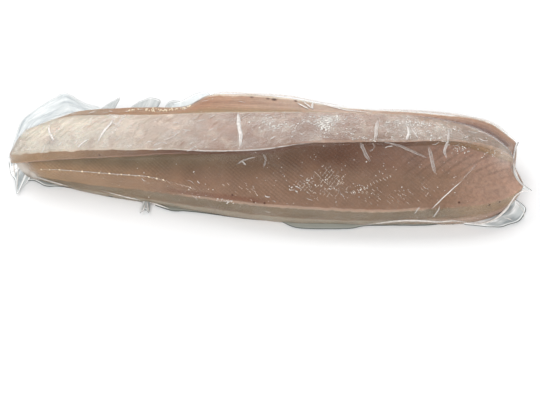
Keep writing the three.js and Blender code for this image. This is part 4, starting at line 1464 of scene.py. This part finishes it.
# Painted highlight along the fold's two edges.
painted_edge_highlight = add(tree, "ShaderNodeMath", {0: turned_over, 1: 0.2}, operation="MULTIPLY")
inside = add(tree, "ShaderNodeMapRange", {
    "Value": side_read, "From Min": 0.8, "From Max": 1.0, "To Min": 0.9, "To Max": 0.0,
})
cover = add(tree, "ShaderNodeMath", {0: inside, 1: milky_read, 2: painted_edge_highlight}, operation="MULTIPLY_ADD")
cover = add(tree, "ShaderNodeMath", {0: cover, 1: patches}, operation="MULTIPLY", use_clamp=True)
clear = add(tree, "ShaderNodeBsdfTransparent", {"Color": colour("#ffffff")})
milky = add(tree, "ShaderNodeBsdfPrincipled", {
    "Base Color": colour("#ece7e2"), "Roughness": 0.22, "IOR": 1.5,
})
show(tree, add(tree, "ShaderNodeMixShader", {0: cover, 1: clear, 2: milky}))
dress([*folds, lesser_folds, *rolls], fold_material)

# %% The flakes' materials
# Each flake mixes white ice with a mirror-like share, which flashes where a facet happens to
# face the softbox. The beads along the back are painted glints, near-white flakes, and warm
# because they sparkle on golden fat.
def flake_material(name, code, least, flash):
    """A material of flakes under film for ice, air and painted glints, covering at least a share of what is
    below it.
    """
    made, tree = new_material(name)
    place = add(tree, "ShaderNodeTexCoord").outputs["Object"]
    uneven = add(tree, "ShaderNodeTexNoise", {"Vector": place, "Scale": 1 / (6 * MM), "Detail": 2.0})
    cover = add(tree, "ShaderNodeMapRange", {
        "Value": uneven, "From Min": 0.35, "From Max": 0.6, "To Min": least, "To Max": 1.0,
    })
    clear = add(tree, "ShaderNodeBsdfTransparent", {"Color": colour("#ffffff")})
    ice = add(tree, "ShaderNodeBsdfPrincipled", {"Base Color": colour(code), "Roughness": 0.3, "IOR": 1.31})
    mirror = add(tree, "ShaderNodeBsdfGlossy", {"Color": colour(code), "Roughness": 0.25})
    flashing = add(tree, "ShaderNodeMixShader", {0: flash, 1: ice, 2: mirror})
    show(tree, add(tree, "ShaderNodeMixShader", {0: cover, 1: clear, 2: flashing}))
    return made


dress([frost_flakes], flake_material("ice_frost", "#f8f3ec", 0.55, 0.25))
dress([hatch_flakes], flake_material("air_under_film", "#e6d8ca", 0.25, 0.15))
# The beads are painted glints.
dress([beads_piece], flake_material("painted_glint_beads", "#fff0d6", 0.95, 0.15))

# %% [markdown]
# ## Loose film
#
# A loose margin is a grey-white veil. Streaks of painted highlight and painted shade lie
# along its folds, its rolled rim has a white line and a dark one beside it, the dark one
# partly the film's tint seen edge-on and partly a painted reflection of darker surroundings,
# and the hems on the meat's foot are greyer, a painted shadow of the meat showing through
# them.

# %% The margins' material
margin_material, tree = new_material("loose_sealed_film")
reads = {
    name: add(tree, "ShaderNodeAttribute", attribute_name=name).outputs["Fac"]
    for name in ("rim_gap", "cross_streak", "down_streak", "dark", "grey", "streaky")
}
STREAK_WIDTH = 4.5
STREAK_LENGTH = 34
cross = add(tree, "ShaderNodeMath", {
    0: reads["cross_streak"], 1: 1 / (STREAK_WIDTH * MM),
}, operation="MULTIPLY")
down = add(tree, "ShaderNodeMath", {
    0: reads["down_streak"], 1: 1 / (STREAK_LENGTH * MM),
}, operation="MULTIPLY")
lying = add(tree, "ShaderNodeCombineXYZ", {"X": cross, "Y": down, "Z": reads["dark"]})
streaks = add(tree, "ShaderNodeTexNoise", {"Vector": lying, "Scale": 1.0, "Detail": 2.0})
streaks = add(tree, "ShaderNodeMath", {0: streaks, 1: 0.5}, operation="SUBTRACT")
streaks = add(tree, "ShaderNodeMath", {
    0: streaks, 1: reads["streaky"], 2: 0.5,
}, operation="MULTIPLY_ADD")
# The ramp's darker and lighter stops are painted shade and painted highlight along the film's folds.
veil = add(tree, "ShaderNodeValToRGB", {"Fac": streaks})
VEIL_COLOURS_AND_PAINTED_STREAKS = [(0.34, "#b3babd"), (0.46, "#dde1e2"), (0.56, "#eef0f0"), (0.66, "#ffffff")]
while len(veil.color_ramp.elements) < len(VEIL_COLOURS_AND_PAINTED_STREAKS):
    veil.color_ramp.elements.new(0.5)
for stop, (position, code) in zip(veil.color_ramp.elements, VEIL_COLOURS_AND_PAINTED_STREAKS):
    stop.position = position
    stop.color = colour(code)
# Painted highlight streaks also cover more of what is behind the film.
bright = add(tree, "ShaderNodeMapRange", {
    "Value": streaks, "From Min": 0.52, "From Max": 0.68, "To Min": 0.5, "To Max": 0.9,
})
cover = add(tree, "ShaderNodeMath", {0: reads["grey"], 1: 0.45, 2: bright}, operation="MULTIPLY_ADD")
# Painted shadow: the hems are greyed where the meat's shadow shows through them.
greyed = add(tree, "ShaderNodeMix", {
    "Factor": reads["grey"], "A": veil, "B": colour("#86867c"),
}, data_type="RGBA")
RIM_DARK = 0.8
RIM_WHITE = 2.0
white_line = between_nodes(tree, reads["rim_gap"], RIM_DARK * MM, RIM_WHITE * MM, 0.3 * MM)
ungreyed = add(tree, "ShaderNodeMath", {0: 1.0, 1: reads["grey"]}, operation="SUBTRACT")
white_share = add(tree, "ShaderNodeMath", {0: white_line, 1: ungreyed}, operation="MULTIPLY")
# The dark rim line is partly the film's tint seen edge-on and partly a painted reflection of darker
# surroundings.
dark_line = add(tree, "ShaderNodeMapRange", {
    "Value": reads["rim_gap"], "From Min": 0.7 * RIM_DARK * MM, "From Max": 1.2 * RIM_DARK * MM,
    "To Min": 1.0, "To Max": 0.0,
})
dark_line = add(tree, "ShaderNodeMath", {0: dark_line, 1: reads["dark"]}, operation="MULTIPLY")
lined = add(tree, "ShaderNodeMix", {
    "Factor": white_share, "A": greyed, "B": colour("#fbfcfb"),
}, data_type="RGBA")
lined = add(tree, "ShaderNodeMix", {
    "Factor": dark_line, "A": lined, "B": colour("#4f5552"),
}, data_type="RGBA")
cover = add(tree, "ShaderNodeMath", {0: white_share, 1: 0.3, 2: cover}, operation="MULTIPLY_ADD")
cover = add(tree, "ShaderNodeMath", {
    0: dark_line, 1: 0.5, 2: cover,
}, operation="MULTIPLY_ADD", use_clamp=True)
milky = add(tree, "ShaderNodeBsdfPrincipled", {"Base Color": lined, "Roughness": 0.16, "IOR": 1.5})
clear = add(tree, "ShaderNodeBsdfTransparent", {"Color": colour("#fafcfc")})
show(tree, add(tree, "ShaderNodeMixShader", {0: cover, 1: clear, 2: milky}))
dress(margins, margin_material)
print("materials:", [m.name for m in (meat_material, film_material, fold_material, margin_material)])

# %% [markdown]
# ## Riding and replacing
#
# Every piece rides on the one body, and all of them together stand for the imported solid,
# which is hidden.

# %% Each piece is smoothed and rides on the body; the imported solid is hidden
for piece in [meat, film, *folds, lesser_folds, *rolls, *margins, *flake_pieces]:
    alone(piece)
    bpy.ops.object.shade_smooth()
    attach(piece, "root")
    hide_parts("vacuum_bag")

# %% [markdown]
# ## Floor, light and camera
#
# The loin lies on a plain pale floor under soft studio light: one large softbox overhead, a
# little behind the loin so that its top face is the brightest, a stronger one in front that
# fills the hollow face and isn't mirrored in the film, and a pale surround that the film can
# mirror. The camera looks down at 48 degrees from about a metre, the angle estimated for
# the photo.

# %% Floor
bpy.ops.object.select_all(action="DESELECT")
bpy.ops.mesh.primitive_plane_add(size=6, location=(0, 0, 0))
floor = bpy.context.object
floor.name = "floor"
floor_material, tree = new_material("pale_floor")
show(tree, add(tree, "ShaderNodeBsdfPrincipled", {"Base Color": colour("#f4f4f4"), "Roughness": 0.7}))
floor.data.materials.append(floor_material)

# %% Light
def softbox(name, place, width, depth, watts, mirrored=True):
    """An area light that looks at the loin. The film mirrors it only if mirrored is true."""
    bpy.ops.object.light_add(type="AREA", location=place)
    lamp = bpy.context.object
    lamp.name = name
    lamp.data.shape = "RECTANGLE"
    lamp.data.size = width
    lamp.data.size_y = depth
    lamp.data.energy = watts
    lamp.rotation_euler = (-Vector(place)).to_track_quat("-Z", "Y").to_euler()
    lamp.visible_glossy = mirrored


softbox("overhead", (-0.3, 0.95, 1.25), 2.6, 1.3, 26)
softbox("front", (-0.1, -1.5, 1.2), 2.0, 1.4, 36, mirrored=False)
world = bpy.data.worlds.new("surround")
bpy.context.scene.world = world
world.use_nodes = True
world.node_tree.nodes["Background"].inputs["Color"].default_value = colour("#f7f9fb")
world.node_tree.nodes["Background"].inputs["Strength"].default_value = 0.35
bpy.context.scene.view_settings.view_transform = "Standard"

# %% Camera
CAMERA_ELEVATION = math.radians(48)
CAMERA_TARGET = Vector((0.005, -0.041, 0))
CAMERA_DISTANCE = 1.010
back_off = Vector((0, -math.cos(CAMERA_ELEVATION), math.sin(CAMERA_ELEVATION)))
bpy.ops.object.camera_add(location=CAMERA_TARGET + back_off * CAMERA_DISTANCE)
camera = bpy.context.object
camera.rotation_euler = (math.pi / 2 - CAMERA_ELEVATION, 0, 0)
camera.data.lens = 70
camera.data.sensor_width = 36
bpy.context.scene.camera = camera
print("camera at", [round(c, 3) for c in camera.location])
